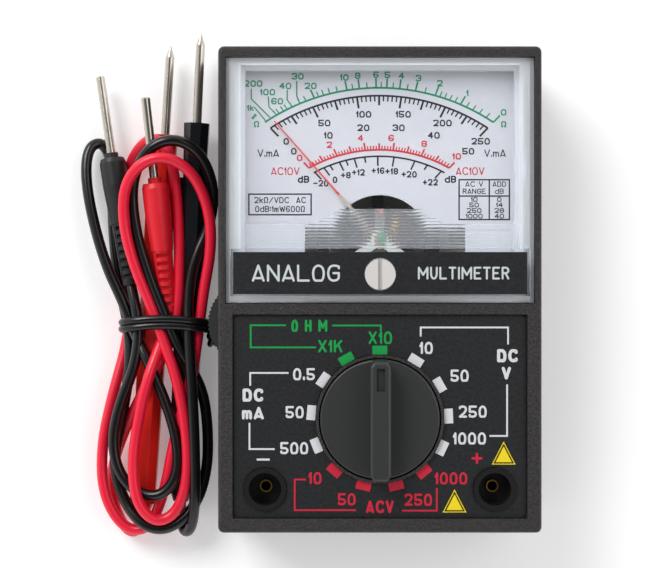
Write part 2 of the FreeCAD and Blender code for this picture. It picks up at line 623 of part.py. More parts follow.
def board_parts():
    row = [axial_part("resistor_radius", "resistor_length", "%g" % (-8 + 3.5 * k), "-14.2")
           for k in range(9)]
    subpart(together(*row), "resistors")
    row = [axial_part("diode_radius", "3.8", "%g" % (-6 + 3 * k), "-6.6") for k in range(4)]
    subpart(together(*row), "diodes")
    can = cylinder("2.5", "7", ("5.5", "-6.4", "board_z - 2.9"), "x")
    pins = [cylinder("lead_wire_radius", "2.9", ("6.1", "-6.4 + %g" % (1.25 * s), "board_z - 2.9"))
            for s in (-1, 1)]
    subpart(fuse(can, *pins), "capacitor")
    start = "-fuse_length/2"
    glass = cylinder("fuse_radius - 0.2", "fuse_length - 2", (start + " + 1", "fuse_y", "fuse_z"), "x")
    caps = [cylinder("fuse_radius", "5", (x, "fuse_y", "fuse_z"), "x")
            for x in (start, "fuse_length/2 - 5")]
    subpart(fuse(glass, *caps), "fuse")
    clips = []
    for sign in "+-":
        middle = sign + "(fuse_length/2 - 2.5)"
        clasp = cut(cylinder("fuse_radius + 0.5", "3", (middle + " - 1.5", "fuse_y", "fuse_z"), "x"),
                    cylinder("fuse_radius", "5", (middle + " - 2.5", "fuse_y", "fuse_z"), "x"),
                    box(("5", "3.6", "fuse_radius + 2"),
                        (middle, "fuse_y", "fuse_z - fuse_radius - 2.5")))
        stem = box(("3", "1.6", "board_z - fuse_z - fuse_radius - 0.2"),
                   (middle, "fuse_y", "fuse_z + fuse_radius + 0.2"))
        clips.append(fuse(clasp, stem))
    subpart(together(*clips), "fuse_clips")
    bottom = "jack_top - jack_length"
    sleeves = []
    for x in ("jack_x", "-jack_x"):
        tube = cylinder("jack_bore + jack_wall", "jack_length", (x, "jack_y", bottom))
        collar = cylinder("2.1", "0.6", (x, "jack_y", "board_z - 0.6"))
        bore = cylinder("jack_bore", "jack_length + 2", (x, "jack_y", bottom + " - 1"))
        sleeves.append(cut(fuse(tube, collar), bore))
    subpart(together(*sleeves), "jack_sleeves")


def battery_parts():
    can = cylinder("battery_radius", "battery_length - 1", ("-battery_length/2", "battery_y", BATTERY_Z),
                   "x")
    button = cylinder("2.7", "1.1", ("battery_length/2 - 1.1", "battery_y", BATTERY_Z), "x")
    subpart(fuse(can, button), "battery")
    # flat plate at the button end, sprung leaf at the can end; each stands in its own rib
    plate = box(("0.4", "10", "9"), ("battery_length/2 + 0.25", "battery_y", "floor_wall + 3"))
    foot = box(("3", "10", "0.4"), ("battery_length/2 + 1.55", "battery_y", "floor_wall + 3"))
    subpart(fuse(plate, foot), "battery_positive")
    leaf = box(("0.4", "10", "9"), ("-battery_length/2 - 2.4", "battery_y", "floor_wall + 3"))
    spring = cone("3.6", "2.2", "2.2", ("-battery_length/2 - 2.2", "battery_y", BATTERY_Z), "x")
    hollow = cone("3.1", "1.7", "2.2", ("-battery_length/2 - 2.2", "battery_y", BATTERY_Z), "x")
    subpart(fuse(leaf, cut(spring, hollow)), "battery_negative")


# ---------------------------------------------------------------- movement
def movement_frame():
    """Cast cup that holds the yoke ring, with two arms to the case bosses."""
    inner = "yoke_radius + 0.02"
    cup = cylinder("yoke_radius + cup_wall", "arm_bottom + arm_thickness - cup_bottom",
                   ("0", "pivot_y", "cup_bottom"))
    arms = box(("2*(" + INNER_X + " - 0.4)", "arm_width", "arm_thickness"),
               ("0", "movement_screw_y + 0.6", "arm_bottom"))
    seat = cylinder(inner, "12", ("0", "pivot_y", "yoke_bottom"))
    well = cylinder("gap_radius", "12", ("0", "pivot_y", "cup_bottom + cup_floor"))
    tapped = cylinder("jewel_radius + screw_gap", "6", ("0", "pivot_y", "cup_bottom - 1"))
    holes = [cylinder("screw_radius + 0.1", "6", (x, "movement_screw_y", "arm_bottom - 1"))
             for x in ("movement_screw_x", "-movement_screw_x")]
    subpart(cut(fuse(cup, arms), seat, well, tapped, *holes), "movement_frame")


def magnet_parts():
    """Soft-iron yoke ring, magnet core, and the bar that holds the core in the ring."""
    centre = ("0", "pivot_y")
    subpart(ring("yoke_radius", "gap_radius", "yoke_height", centre + ("yoke_bottom",)), "yoke_ring")
    slot = ("2.4", "core_radius*2 + 2", "1.4")
    core = cut(cylinder("core_radius", "core_half_height*2",
                        centre + ("movement_z - core_half_height",)),
               box(slot, centre + ("movement_z - 0.7",)))
    halves = cut(core, cylinder("1.2", "20", centre + ("0",)))
    subpart(halves, "core_magnet")
    bar = box(("2.4", "gap_radius*2 - 0.2", "1.4"), centre + ("movement_z - 0.7",))
    pins = cylinder("1.15", "core_half_height*2", centre + ("movement_z - core_half_height",))
    subpart(fuse(bar, pins), "core_holder")


def frame_loop(half_width, half_height, thickness, depth):
    """A rectangular loop standing in the XZ plane round the core."""
    outer = box(("2*(%s + %s)" % (half_width, thickness), depth,
                 "2*(%s + %s)" % (half_height, thickness)),
                ("0", "0", "movement_z - (%s + %s)" % (half_height, thickness)))
    inner = box(("2*(%s)" % half_width, "(%s) + 2" % depth, "2*(%s)" % half_height),
                ("0", "0", "movement_z - (%s)" % half_height))
    return cut(outer, inner)


def moving_parts():
    """Everything that turns with the pointer; the coil lies across the pointer's direction."""
    def mount(obj, label):
        subpart(place(obj, y="pivot_y", turn=POINTER_TURN), label)

    mount(frame_loop("former_half_width", "former_half_height", "former_thickness", "coil_depth"),
          "coil_former")
    mount(frame_loop("(former_half_width + former_thickness)",
                     "(former_half_height + former_thickness)", "winding_thickness", "coil_depth"),
          "moving_coil")
    shaft_top = "lever_z + 0.3"
    upper = fuse(cylinder("1.2", "0.3", ("0", "0", COIL_TOP)),
                 cylinder("shaft_radius", shaft_top + " - " + COIL_TOP, ("0", "0", COIL_TOP)),
                 cylinder("0.6", "0.5", ("0", "0", "hairspring_z - 0.05")))
    lower = fuse(cylinder("1.2", "0.2", ("0", "0", COIL_BOTTOM + " - 0.2")),
                 cylinder("shaft_radius", COIL_BOTTOM + " - (cup_bottom + 1)",
                          ("0", "0", "cup_bottom + 1")))
    mount(together(upper, lower), "pivot_shafts")
    blade = body("pointer_blade")
    pad(blade, "pointer_z", "0.4",
        polygon(("-0.45", "1.1"), ("0.45", "1.1"), ("0.34", "pointer_length*0.36"),
                ("0.16", "pointer_length*0.42"), ("0.11", "pointer_length"),
                ("-0.11", "pointer_length"), ("-0.16", "pointer_length*0.42"),
                ("-0.34", "pointer_length*0.36")))
    hub = ring("1.5", "shaft_radius", "0.6", ("0", "0", "pointer_z - 0.1"))
    tails = []
    for angle in (90, 180, 270):
        tail = box(("0.5", "4.2", "0.3"), ("0", "3.3", "pointer_z + 0.05"))
        tails.append(place(together(tail), turn="%g" % angle))
    mount(fuse(blade, hub, *tails), "pointer")
    weights = []
    for angle in (90, 180, 270):
        weight = cut(cylinder("0.75", "1.6", ("0", "3.6", "pointer_z + 0.2"), "y"),
                     box(("0.5", "3", "0.3"), ("0", "4.4", "pointer_z + 0.05")))
        weights.append(place(together(weight), turn="%g" % angle))
    mount(together(*weights), "counterweights")


def spiral(inner, pitch, turns, strip, height):
    """A flat spring: half circles on two centres, so that each runs smoothly into the next."""
    def side(offset):
        edges = []
        for k in range(2 * turns):
            radius = inner + pitch * k / 2 + offset
            shift = 0 if k % 2 == 0 else pitch / 2
            sign = 1 if k % 2 == 0 else -1
            centre = Vector(shift, 0, 0)
            middle = centre + Vector(0, sign * radius, 0)
            ends = (centre + Vector(sign * radius, 0, 0), centre - Vector(sign * radius, 0, 0))
            edges.append(Part.Arc(ends[0], middle, ends[1]).toShape())
        return edges
    near, far = side(-strip / 2), side(strip / 2)
    first = Part.makeLine(near[0].Vertexes[0].Point, far[0].Vertexes[0].Point)
    last = Part.makeLine(near[-1].Vertexes[-1].Point, far[-1].Vertexes[-1].Point)
    outline = Part.Wire(Part.__sortEdges__(near + far + [first, last]))
    return Part.Face(outline).extrude(Vector(0, 0, height))


def hairsprings():
    for label, z in (("hairspring_top", "hairspring_z"), ("hairspring_bottom", COIL_BOTTOM + " - 0.75")):
        spring = doc.addObject("Part::Feature", label)
        spring.Shape = spiral(0.95, 0.8, 4, 0.16, value("hairspring_height"))
        spring.Placement = Placement(Vector(0, value("pivot_y"), value(z)), Rotation())
        subpart(spring, label)


def upper_bridge():
    """V-shaped bridge on two posts that stand on the yoke ring; its eye carries the top jewel."""
    post_y = "(pivot_y - bridge_post_drop)"
    posts, arms, screws = [], [], []
    for sign in (1, -1):
        x = "%d*bridge_post_x" % sign
        posts.append(cylinder("1.15", "bridge_z - (yoke_bottom + yoke_height)",
                              (x, post_y, "yoke_bottom + yoke_height")))
        posts.append(cylinder("1.9", "bridge_thickness", (x, post_y, "bridge_z")))
        reach = "sqrt(bridge_post_x^2 + bridge_post_drop^2)"
        arm = box((reach, "1.9", "bridge_thickness"), (reach + "/2", "0", "bridge_z"))
        slant = "-atan(bridge_post_drop/bridge_post_x)"
        turn = slant if sign == 1 else "180 deg - (" + slant + ")"
        arms.append(place(together(arm), y="pivot_y", turn=turn))
        screws.append(cylinder("1.3", "0.6", (x, post_y, "bridge_z + bridge_thickness")))
    eye = cylinder("jewel_radius + 0.9", "bridge_thickness", ("0", "pivot_y", "bridge_z"))
    bore = cylinder("jewel_radius + screw_gap", "3", ("0", "pivot_y", "bridge_z - 1"))
    subpart(cut(fuse(*posts, *arms, eye), bore), "upper_bridge")
    subpart(together(*screws), "bridge_screws")


def jewel_screws():
    cup = "shaft_radius + 0.05"
    top = cut(fuse(cylinder("jewel_radius", "bridge_z + bridge_thickness + 0.5 - (lever_z - 0.1)",
                            ("0", "pivot_y", "lever_z - 0.1")),
                   cylinder("jewel_radius + 0.25", "0.4", ("0", "pivot_y",
                                                         "bridge_z + bridge_thickness + 0.1"))),
              cylinder(cup, "0.6", ("0", "pivot_y", "lever_z - 0.2")),
              box(("1.4", "0.3", "0.4"), ("0", "pivot_y", "bridge_z + bridge_thickness + 0.3")))
    subpart(top, "top_jewel_screw")
    bottom = cut(cylinder("jewel_radius", "cup_floor + 0.6", ("0", "pivot_y", "cup_bottom - 0.4")),
                 cylinder(cup, "1.2", ("0", "pivot_y", "cup_bottom + 0.9")),
                 box(("1.4", "0.3", "0.4"), ("0", "pivot_y", "cup_bottom - 0.5")))
    subpart(bottom, "bottom_jewel_screw")


def zero_lever():
    """Ring on the top jewel screw; its long tail ends in a fork round the zero screw's pin."""
    eye = cylinder("jewel_radius + 0.9", "lever_thickness", ("0", "0", "lever_z"))
    bore = cylinder("jewel_radius + 0.05", "3", ("0", "0", "lever_z - 1"))
    tail = box(("2.6", "9.4", "lever_thickness"), ("0", "-4.7", "lever_z"))
    nose = box(("1.9", "6.5", "lever_thickness"), ("0", "3.25", "lever_z"))
    fork = box(("2*(zero_pin_radius + zero_pin_gap)", "3", "3"), ("0", "-8.5", "lever_z - 1"))
    subpart(place(cut(fuse(eye, tail, nose), bore, fork), y="pivot_y"), "zero_lever")


def dial_plate():
    plate = body("dial_blank")
    pad(plate, "dial_z", "dial_thickness",
        rect("-dial_width/2", "bar_top + 0.8", "dial_width/2", WINDOW_Y + " - 0.4"))
    pocket(plate, DIAL_TOP, "dial_thickness",
           rect("dial_cut_left", "bar_top + 2.5", "dial_cut_right", "dial_cut_top"))
    pocket(plate, DIAL_TOP, "dial_thickness", circle("0.15", "pivot_y - 0.9", "dial_cut_radius"))
    pocket(plate, DIAL_TOP, "dial_thickness",
           circle("movement_screw_x", "movement_screw_y", "screw_radius + 0.1"),
           circle("-movement_screw_x", "movement_screw_y", "screw_radius + 0.1"))
    ears = [cylinder("9", "dial_thickness", (sign + "(dial_width/2 - 8.45)", "25.2", "dial_z"))
            for sign in "+-"]
    subpart(fuse(plate, *ears), "dial_plate")


# ---------------------------------------------------------------- wires and cords
def rounded_path(points, label=""):
    """Straight runs joined by tangent arcs. An arc's radius is 0.45 of its shorter run over the
    tangent of half the turn."""
    points = [Vector(*p) for p in points]
    edges, radii, start = [], [], points[0]
    for before, corner, after in zip(points, points[1:], points[2:]):
        inward = (before - corner).normalize()
        outward = (after - corner).normalize()
        trim = 0.45 * min(before.distanceToPoint(corner), corner.distanceToPoint(after))
        half_turn = (math.pi - inward.getAngle(outward)) / 2
        radius = trim / math.tan(half_turn)
        radii.append(radius)
        entry, leave = corner + inward * trim, corner + outward * trim
        bisector = (inward + outward).normalize()
        centre = corner + bisector * (radius / math.cos(half_turn))
        middle = centre - bisector * radius
        edges.append(Part.LineSegment(start, entry).toShape())
        edges.append(Part.Arc(entry, middle, leave).toShape())
        start = leave
    edges.append(Part.LineSegment(start, points[-1]).toShape())
    if label:
        print(label, "least radii", [round(r, 1) for r in sorted(radii)[:6]])
    return Part.Wire(edges)


def tube(points, radius, label=""):
    """A round solid along the rounded path, checked against its section times its length."""
    path = rounded_path(points, label)
    start = path.Edges[0]
    direction = start.tangentAt(start.FirstParameter)
    section = Part.Wire(Part.makeCircle(radius, Vector(*points[0]), direction))
    solid = path.makePipeShell([section], True, False)
    expected = math.pi * radius ** 2 * path.Length
    if label:
        print(label, "length", round(path.Length, 1), "volume ratio", round(solid.Volume / expected, 4))
    if abs(solid.Volume / expected - 1) > 0.01:
        raise ValueError("tube %s has the wrong volume" % label)
    return solid


def feature(shape, label):
    obj = doc.addObject("Part::Feature", label)
    obj.Shape = shape
    obj.Placement = Placement()
    return subpart(obj, label)


def hookup_wires():
    """Insulated wires between the board, the movement and the battery contacts."""
    radius = value("hookup_radius")
    under = value("board_z") - radius
    x, y = 14.5, value("board_top") - 1.2
    level = value("arm_bottom + arm_thickness") + radius
    pair = [tube([(s * x, y, under), (s * x, y + 1.0, under - 2.6), (s * (x + 3.2), y + 4.6, level + 0.6),
                  (s * (x + 3.6), y + 8.6, level)], radius) for s in (-1, 1)]
    feature(Part.makeCompound(pair), "movement_wires")
    end = value("battery_length") / 2
    z = value("floor_wall") + 8.0
    runs = []
    for sign, reach in ((1, 1.6), (-1, 3.2)):
        x = sign * (end + reach)
        y = value("battery_y") - 6.4
        runs.append(tube([(x, value("battery_y") - 5.5, z), (x, y - 2.2, z + 1.6),
                          (x - sign * 2.2, y - 3.0, z + 5.2), (x - sign * 3.0, y - 2.6, under)], radius))
    feature(Part.makeCompound(runs), "battery_wires")


# Routes of the two leads, from the plug's strain relief to the end of the probe handle.
RED_ROUTE = [
    (-45.3, -4.9, 8.3), (-45.6, -8.0, 7.9), (-47.2, -12.2, 9.6), (-49.7, -19.8, 12.2),
    (-52.0, -29.5, 10.3), (-53.1, -38.4, 10.6), (-51.9, -46.6, 11.2), (-47.9, -50.8, 9.8),
    (-43.4, -48.5, 9.2), (-41.0, -41.0, 10.2), (-41.2, -30.6, 11.2), (-43.2, -19.8, 11.2),
    (-46.1, -11.6, 10.4), (-48.8, -4.1, 10.2), (-52.7, 5.2, 10.9), (-54.9, 14.5, 11.8),
    (-54.3, 22.6, 13.8), (-50.0, 27.5, 15.4), (-44.6, 28.3, 15.4), (-39.5, 24.9, 13.6),
    (-36.3, 17.5, 11.6), (-35.9, 8.9, 10.4), (-37.8, -0.6, 8.8), (-38.9, -9.2, 8.2),
    (-40.3, -19.9, 9.6), (-44.3, -32.9, 8.4), (-46.3, -44.0, 7.5), (-50.0, -53.0, 5.6),
    (-55.8, -52.7, 5.2), (-60.2, -45.1, 5.6), (-60.5, -34.2, 5.6), (-58.0, -22.6, 4.8),
    (-55.3, -12.4, 2.9), (-54.5, -3.4, 2.3), (-55.7, 9.2, 1.8), (-56.3, 21.4, 1.6),
    (-54.0, 29.4, 3.4), (-49.6, 33.4, 7.2), (-45.3, 30.9, 9.2), (-43.7, 22.5, 8.6),
    (-42.9, 8.5, 8.8), (-43.4, -7.1, 8.5), (-46.3, -14.0, 8.3), (-50.6, -21.6, 8.6),
    (-55.4, -30.6, 4.6), (-58.8, -39.6, 2.2), (-58.7, -47.6, 1.4), (-55.7, -53.6, 1.8),
    (-52.4, -53.8, 3.4), (-51.7, -49.0, 4.5),
]
BLACK_ROUTE = [
    (-53.8, 0.9, 7.5), (-52.6, -3.6, 8.6), (-51.7, -8.9, 8.9), (-52.6, -16.7, 9.3),
    (-56.1, -25.2, 9.0), (-57.7, -32.8, 8.6), (-56.5, -39.8, 8.4), (-52.2, -44.5, 8.7),
    (-46.9, -45.1, 9.3), (-43.2, -40.5, 9.4), (-43.4, -32.6, 9.6), (-46.0, -24.0, 9.8),
    (-49.8, -15.7, 10.0), (-53.2, -8.9, 7.4), (-55.3, -3.2, 7.2), (-59.5, 5.5, 6.6),
    (-62.7, 16.5, 5.6), (-64.2, 25.4, 4.6), (-63.7, 31.1, 3.6), (-61.3, 32.7, 2.6),
    (-59.4, 30.4, 1.7), (-58.8, 25.9, 1.3), (-58.6, 14.3, 1.3), (-57.4, 2.6, 3.0),
    (-54.6, -7.9, 4.8), (-54.0, -16.7, 6.2), (-55.9, -28.7, 6.8), (-57.8, -37.5, 6.2),
    (-56.0, -45.4, 6.4), (-51.4, -51.5, 8.5), (-45.5, -52.7, 8.0), (-39.7, -47.8, 7.4),
    (-37.2, -39.8, 5.2), (-37.1, -29.9, 5.2), (-38.3, -21.2, 6.6), (-42.8, -13.5, 9.9),
    (-45.9, -5.8, 10.2), (-49.7, 3.7, 10.2), (-52.6, 13.3, 10.0), (-53.2, 23.4, 11.2),
    (-49.3, 30.4, 14.0), (-43.3, 32.5, 14.2), (-37.8, 29.1, 12.4), (-35.2, 21.5, 10.0),
    (-36.4, 13.8, 8.6), (-39.9, 6.5, 9.4), (-41.1, -2.3, 9.3), (-40.9, -11.0, 10.5),
    (-39.8, -24.0, 12.0), (-39.4, -37.1, 11.0), (-39.6, -47.4, 9.4), (-40.9, -53.2, 6.4),
    (-43.1, -53.2, 4.0), (-43.2, -46.6, 4.5),
]


def lay_down(obj, start, end):
    """Turn an object built along +Z so that it lies from start towards end, its +Y side up."""
    along = (Vector(*end) - Vector(*start)).normalize()
    side = along.cross(Vector(0, 0, 1)).normalize()
    up = side.cross(along)
    turn = Rotation(side, up, along, "ZXY")
    obj.Placement = Placement(Vector(*start), turn)
    return obj


def plug(color, tip, end):
    """Two-millimetre plug: pin, handle, and a strain relief slotted on both faces."""
    pin = fuse(cylinder("plug_pin_radius", "plug_pin_length + 3", ("0", "0", "0.3")),
               cone("plug_pin_radius - 0.3", "plug_pin_radius", "0.3", ("0", "0", "0")))
    subpart(lay_down(pin, tip, end), color + "_plug_pin")
    neck = "plug_pin_length - 1.2"
    top = "plug_pin_length"
    shape = fuse(cylinder("plug_pin_radius + 0.45", "1.3", ("0", "0", neck)),
                 cone("plug_radius*0.88", "plug_radius", "1.0", ("0", "0", top)),
                 cylinder("plug_radius", "plug_length*0.35", ("0", "0", top + " + 1")),
                 cone("plug_radius", "relief_end + 0.7", "plug_length*0.65 - 1",
                      ("0", "0", top + " + 1 + plug_length*0.35")),
                 cone("relief_end + 0.45", "relief_end", "relief_length",
                      ("0", "0", top + " + plug_length")))
    slots = []
    pitch = value("relief_length") / (value("relief_slots") + 0.6)
    for k in range(int(value("relief_slots"))):
        z = top + " + plug_length + %g" % (0.5 + pitch * k)
        for sign in "+-":
            slots.append(box(("2*relief_end - 0.9", "1.2", "%g" % (pitch * 0.52)),
                             ("0", sign + "(relief_end - 0.05)", z)))
    hole = cylinder("plug_pin_radius", "plug_pin_length + 3.3", ("0", "0", "0"))
    handle = cut(shape, hole, *slots)
    subpart(lay_down(handle, tip, end), color + "_plug")


def eight_sided(name, z, radius1, radius2, height):
    """An eight-sided taper about +Z, measured across its flats."""
    taper = doc.addObject("Part::Loft", name)
    faces = []
    for level, radius in ((z, radius1), ("(%s) + (%s)" % (z, height), radius2)):
        outline = doc.addObject("Part::RegularPolygon", name + "_outline")
        outline.Polygon = 8
        bind(outline, Circumradius="(%s)/cos(22.5)" % radius)
        outline.Placement.Rotation = Rotation(Vector(0, 0, 1), 22.5)
        faces.append(place(outline, z=level))
    taper.Sections = faces
    taper.Solid = True
    taper.Ruled = True
    return taper


def probe(color, tip, end):
    """Test probe: needle, eight-sided handle with a finger guard, and a short cable boss."""
    top = "needle_length"
    point = fuse(cone("0.12", "needle_radius", "needle_point", ("0", "0", "0")),
                 cylinder("needle_radius", "needle_length - needle_point + 8",
                          ("0", "0", "needle_point")))
    subpart(lay_down(point, tip, end), color + "_probe_tip")
    guard = top + " + nose_length"
    shape = fuse(eight_sided("nose", top, "nose_tip_radius", "nose_radius", "nose_length"),
                 eight_sided("guard", guard, "guard_radius", "guard_radius", "guard_length"),
                 eight_sided("grip", guard + " + guard_length", "probe_radius", "probe_end_radius",
                             "probe_length - nose_length - guard_length - 2"),
                 cone("probe_end_radius - 0.3", "cord_diameter/2 + 0.5", "2",
                      ("0", "0", top + " + probe_length - 2")))
    hole = cylinder("needle_radius", "8.1", ("0", "0", top + " - 0.1"))
    subpart(lay_down(cut(shape, hole), tip, end), color + "_probe")


def point_between(start, end, distance):
    along = (Vector(*end) - Vector(*start)).normalize()
    spot = Vector(*start) + along * distance
    return (spot.x, spot.y, spot.z)


def test_leads():
    """Plugs and probes lie so that each one's end meets the first or last point of its cable."""
    plug_reach = value("plug_pin_length + plug_length + relief_length")
    probe_reach = value("needle_length + probe_length")
    for color, route, plug_tip, probe_tip in (
            ("red", RED_ROUTE, (-49.9, 41.6, 13.2), (-45.4, 53.2, 4.5)),
            ("black", BLACK_ROUTE, (-60.6, 44.6, 4.6), (-38.6, 54.9, 6.4))):
        tip = point_between(route[0], plug_tip, plug_reach)
        plug(color, tip, route[0])
        tip = point_between(route[-1], probe_tip, probe_reach)
        probe(color, tip, route[-1])
        feature(tube(route, value("cord_diameter") / 2, color + "_lead"), color + "_lead")


def lead_tie():
    """Strap closed round both leads."""
    wall = "tie_thickness"
    size = ("19.3", "tie_width", "10.4")
    at = ("-46.7", "-7.6", "0")
    outer = box(("%s + 2*%s" % (size[0], wall), size[1], "%s + 2*%s" % (size[2], wall)), at)
    inner = box((size[0], "tie_width + 2", size[2]), (at[0], at[1], wall))
    loop = cut(outer, inner)
    subpart(loop, "lead_tie")


# ---------------------------------------------------------------- build and write
def main():
    front_case()
    rear_case()
    case_fasteners()
    range_label()
    meter_window()
    name_band()
    zero_screw()
    selector_knob()
    rotor_details()
    thumbwheel()
    circuit_board()
    board_parts()
    battery_parts()
    hookup_wires()
    movement_frame()
    magnet_parts()
    moving_parts()
    hairsprings()
    upper_bridge()
    jewel_screws()
    zero_lever()
    dial_plate()
    test_leads()
    lead_tie()
    doc.recompute()

    failed = [o.Label for o in doc.Objects if "Invalid" in o.State or "Error" in o.State]
    if failed:
        raise RuntimeError("objects failed: %s" % failed)
    for part in SUBPARTS:
        if part.Shape.isNull() or not part.Shape.isValid() or not part.Shape.Solids:
            raise RuntimeError("bad shape: " + part.Label)
    os.makedirs("parts", exist_ok=True)
    for part in SUBPARTS:
        part.Shape.exportStep(os.path.join("parts", part.Label + ".step"))
    print("wrote", len(SUBPARTS), "parts")


main()
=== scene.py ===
"""Finishes, print, window ribs and test leads of a pocket needle multimeter, round its CAD frame."""
import math

import bpy
import numpy as np
from bpy.props import FloatProperty, FloatVectorProperty, PointerProperty, StringProperty
from bpy.types import Operator, Panel, PropertyGroup
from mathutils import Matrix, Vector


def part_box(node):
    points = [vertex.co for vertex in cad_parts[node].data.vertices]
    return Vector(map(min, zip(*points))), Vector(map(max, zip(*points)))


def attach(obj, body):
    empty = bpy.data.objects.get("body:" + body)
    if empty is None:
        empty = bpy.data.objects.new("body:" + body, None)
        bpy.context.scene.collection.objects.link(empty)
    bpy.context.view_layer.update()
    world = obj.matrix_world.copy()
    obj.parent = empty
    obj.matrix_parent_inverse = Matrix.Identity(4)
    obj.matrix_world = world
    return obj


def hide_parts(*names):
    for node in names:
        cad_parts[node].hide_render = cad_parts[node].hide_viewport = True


bl_info = {
    "name": "Needle Multimeter",
    "version": (1, 0, 0),
    "blender": (4, 5, 0),
    "location": "3D View > Sidebar > Multimeter",
    "description": "Dresses the CAD frame of a pocket needle multimeter",
    "category": "Object",
}

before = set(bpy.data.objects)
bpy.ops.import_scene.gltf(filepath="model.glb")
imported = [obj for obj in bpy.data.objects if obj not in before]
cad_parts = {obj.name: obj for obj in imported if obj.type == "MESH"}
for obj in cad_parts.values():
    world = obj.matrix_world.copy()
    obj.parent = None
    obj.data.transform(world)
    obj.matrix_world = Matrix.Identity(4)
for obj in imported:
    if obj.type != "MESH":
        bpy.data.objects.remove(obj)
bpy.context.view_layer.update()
MM = 0.001

# ---------------------------------------------------------------- places taken from the frame
DIAL_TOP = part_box("dial_plate")[1][2]
LABEL_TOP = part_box("range_label")[1][2]
BAND_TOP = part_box("name_band")[1][2]
PANE_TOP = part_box("meter_window")[1][2] - 0.6 * MM
KNOB_LOW, KNOB_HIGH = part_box("selector_knob")
KNOB_X = (KNOB_LOW[0] + KNOB_HIGH[0]) / 2
KNOB_Y = (KNOB_LOW[1] + KNOB_HIGH[1]) / 2
SHAFT_LOW, SHAFT_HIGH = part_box("pivot_shafts")
PIVOT_X = (SHAFT_LOW[0] + SHAFT_HIGH[0]) / 2
PIVOT_Y = (SHAFT_LOW[1] + SHAFT_HIGH[1]) / 2
TIE_LOW, TIE_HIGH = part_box("lead_tie")

# The cables' routes from plug to probe, in metres: the same points as the CAD's.
RED_ROUTE = [
    (-0.0453, -0.0049, 0.0083), (-0.0456, -0.0080, 0.0079), (-0.0472, -0.0122, 0.0096),
    (-0.0497, -0.0198, 0.0122), (-0.0520, -0.0295, 0.0103), (-0.0531, -0.0384, 0.0106),
    (-0.0519, -0.0466, 0.0112), (-0.0479, -0.0508, 0.0098), (-0.0434, -0.0485, 0.0092),
    (-0.0410, -0.0410, 0.0102), (-0.0412, -0.0306, 0.0112), (-0.0432, -0.0198, 0.0112),
    (-0.0461, -0.0116, 0.0104), (-0.0488, -0.0041, 0.0102), (-0.0527, 0.0052, 0.0109),
    (-0.0549, 0.0145, 0.0118), (-0.0543, 0.0226, 0.0138), (-0.0500, 0.0275, 0.0154),
    (-0.0446, 0.0283, 0.0154), (-0.0395, 0.0249, 0.0136), (-0.0363, 0.0175, 0.0116),
    (-0.0359, 0.0089, 0.0104), (-0.0378, -0.0006, 0.0088), (-0.0389, -0.0092, 0.0082),
    (-0.0403, -0.0199, 0.0096), (-0.0443, -0.0329, 0.0084), (-0.0463, -0.0440, 0.0075),
    (-0.0500, -0.0530, 0.0056), (-0.0558, -0.0527, 0.0052), (-0.0602, -0.0451, 0.0056),
    (-0.0605, -0.0342, 0.0056), (-0.0580, -0.0226, 0.0048), (-0.0553, -0.0124, 0.0029),
    (-0.0545, -0.0034, 0.0023), (-0.0557, 0.0092, 0.0018), (-0.0563, 0.0214, 0.0016),
    (-0.0540, 0.0294, 0.0034), (-0.0496, 0.0334, 0.0072), (-0.0453, 0.0309, 0.0092),
    (-0.0437, 0.0225, 0.0086), (-0.0429, 0.0085, 0.0088), (-0.0434, -0.0071, 0.0085),
    (-0.0463, -0.0140, 0.0083), (-0.0506, -0.0216, 0.0086), (-0.0554, -0.0306, 0.0046),
    (-0.0588, -0.0396, 0.0022), (-0.0587, -0.0476, 0.0014), (-0.0557, -0.0536, 0.0018),
    (-0.0524, -0.0538, 0.0034), (-0.0517, -0.0490, 0.0045),
]
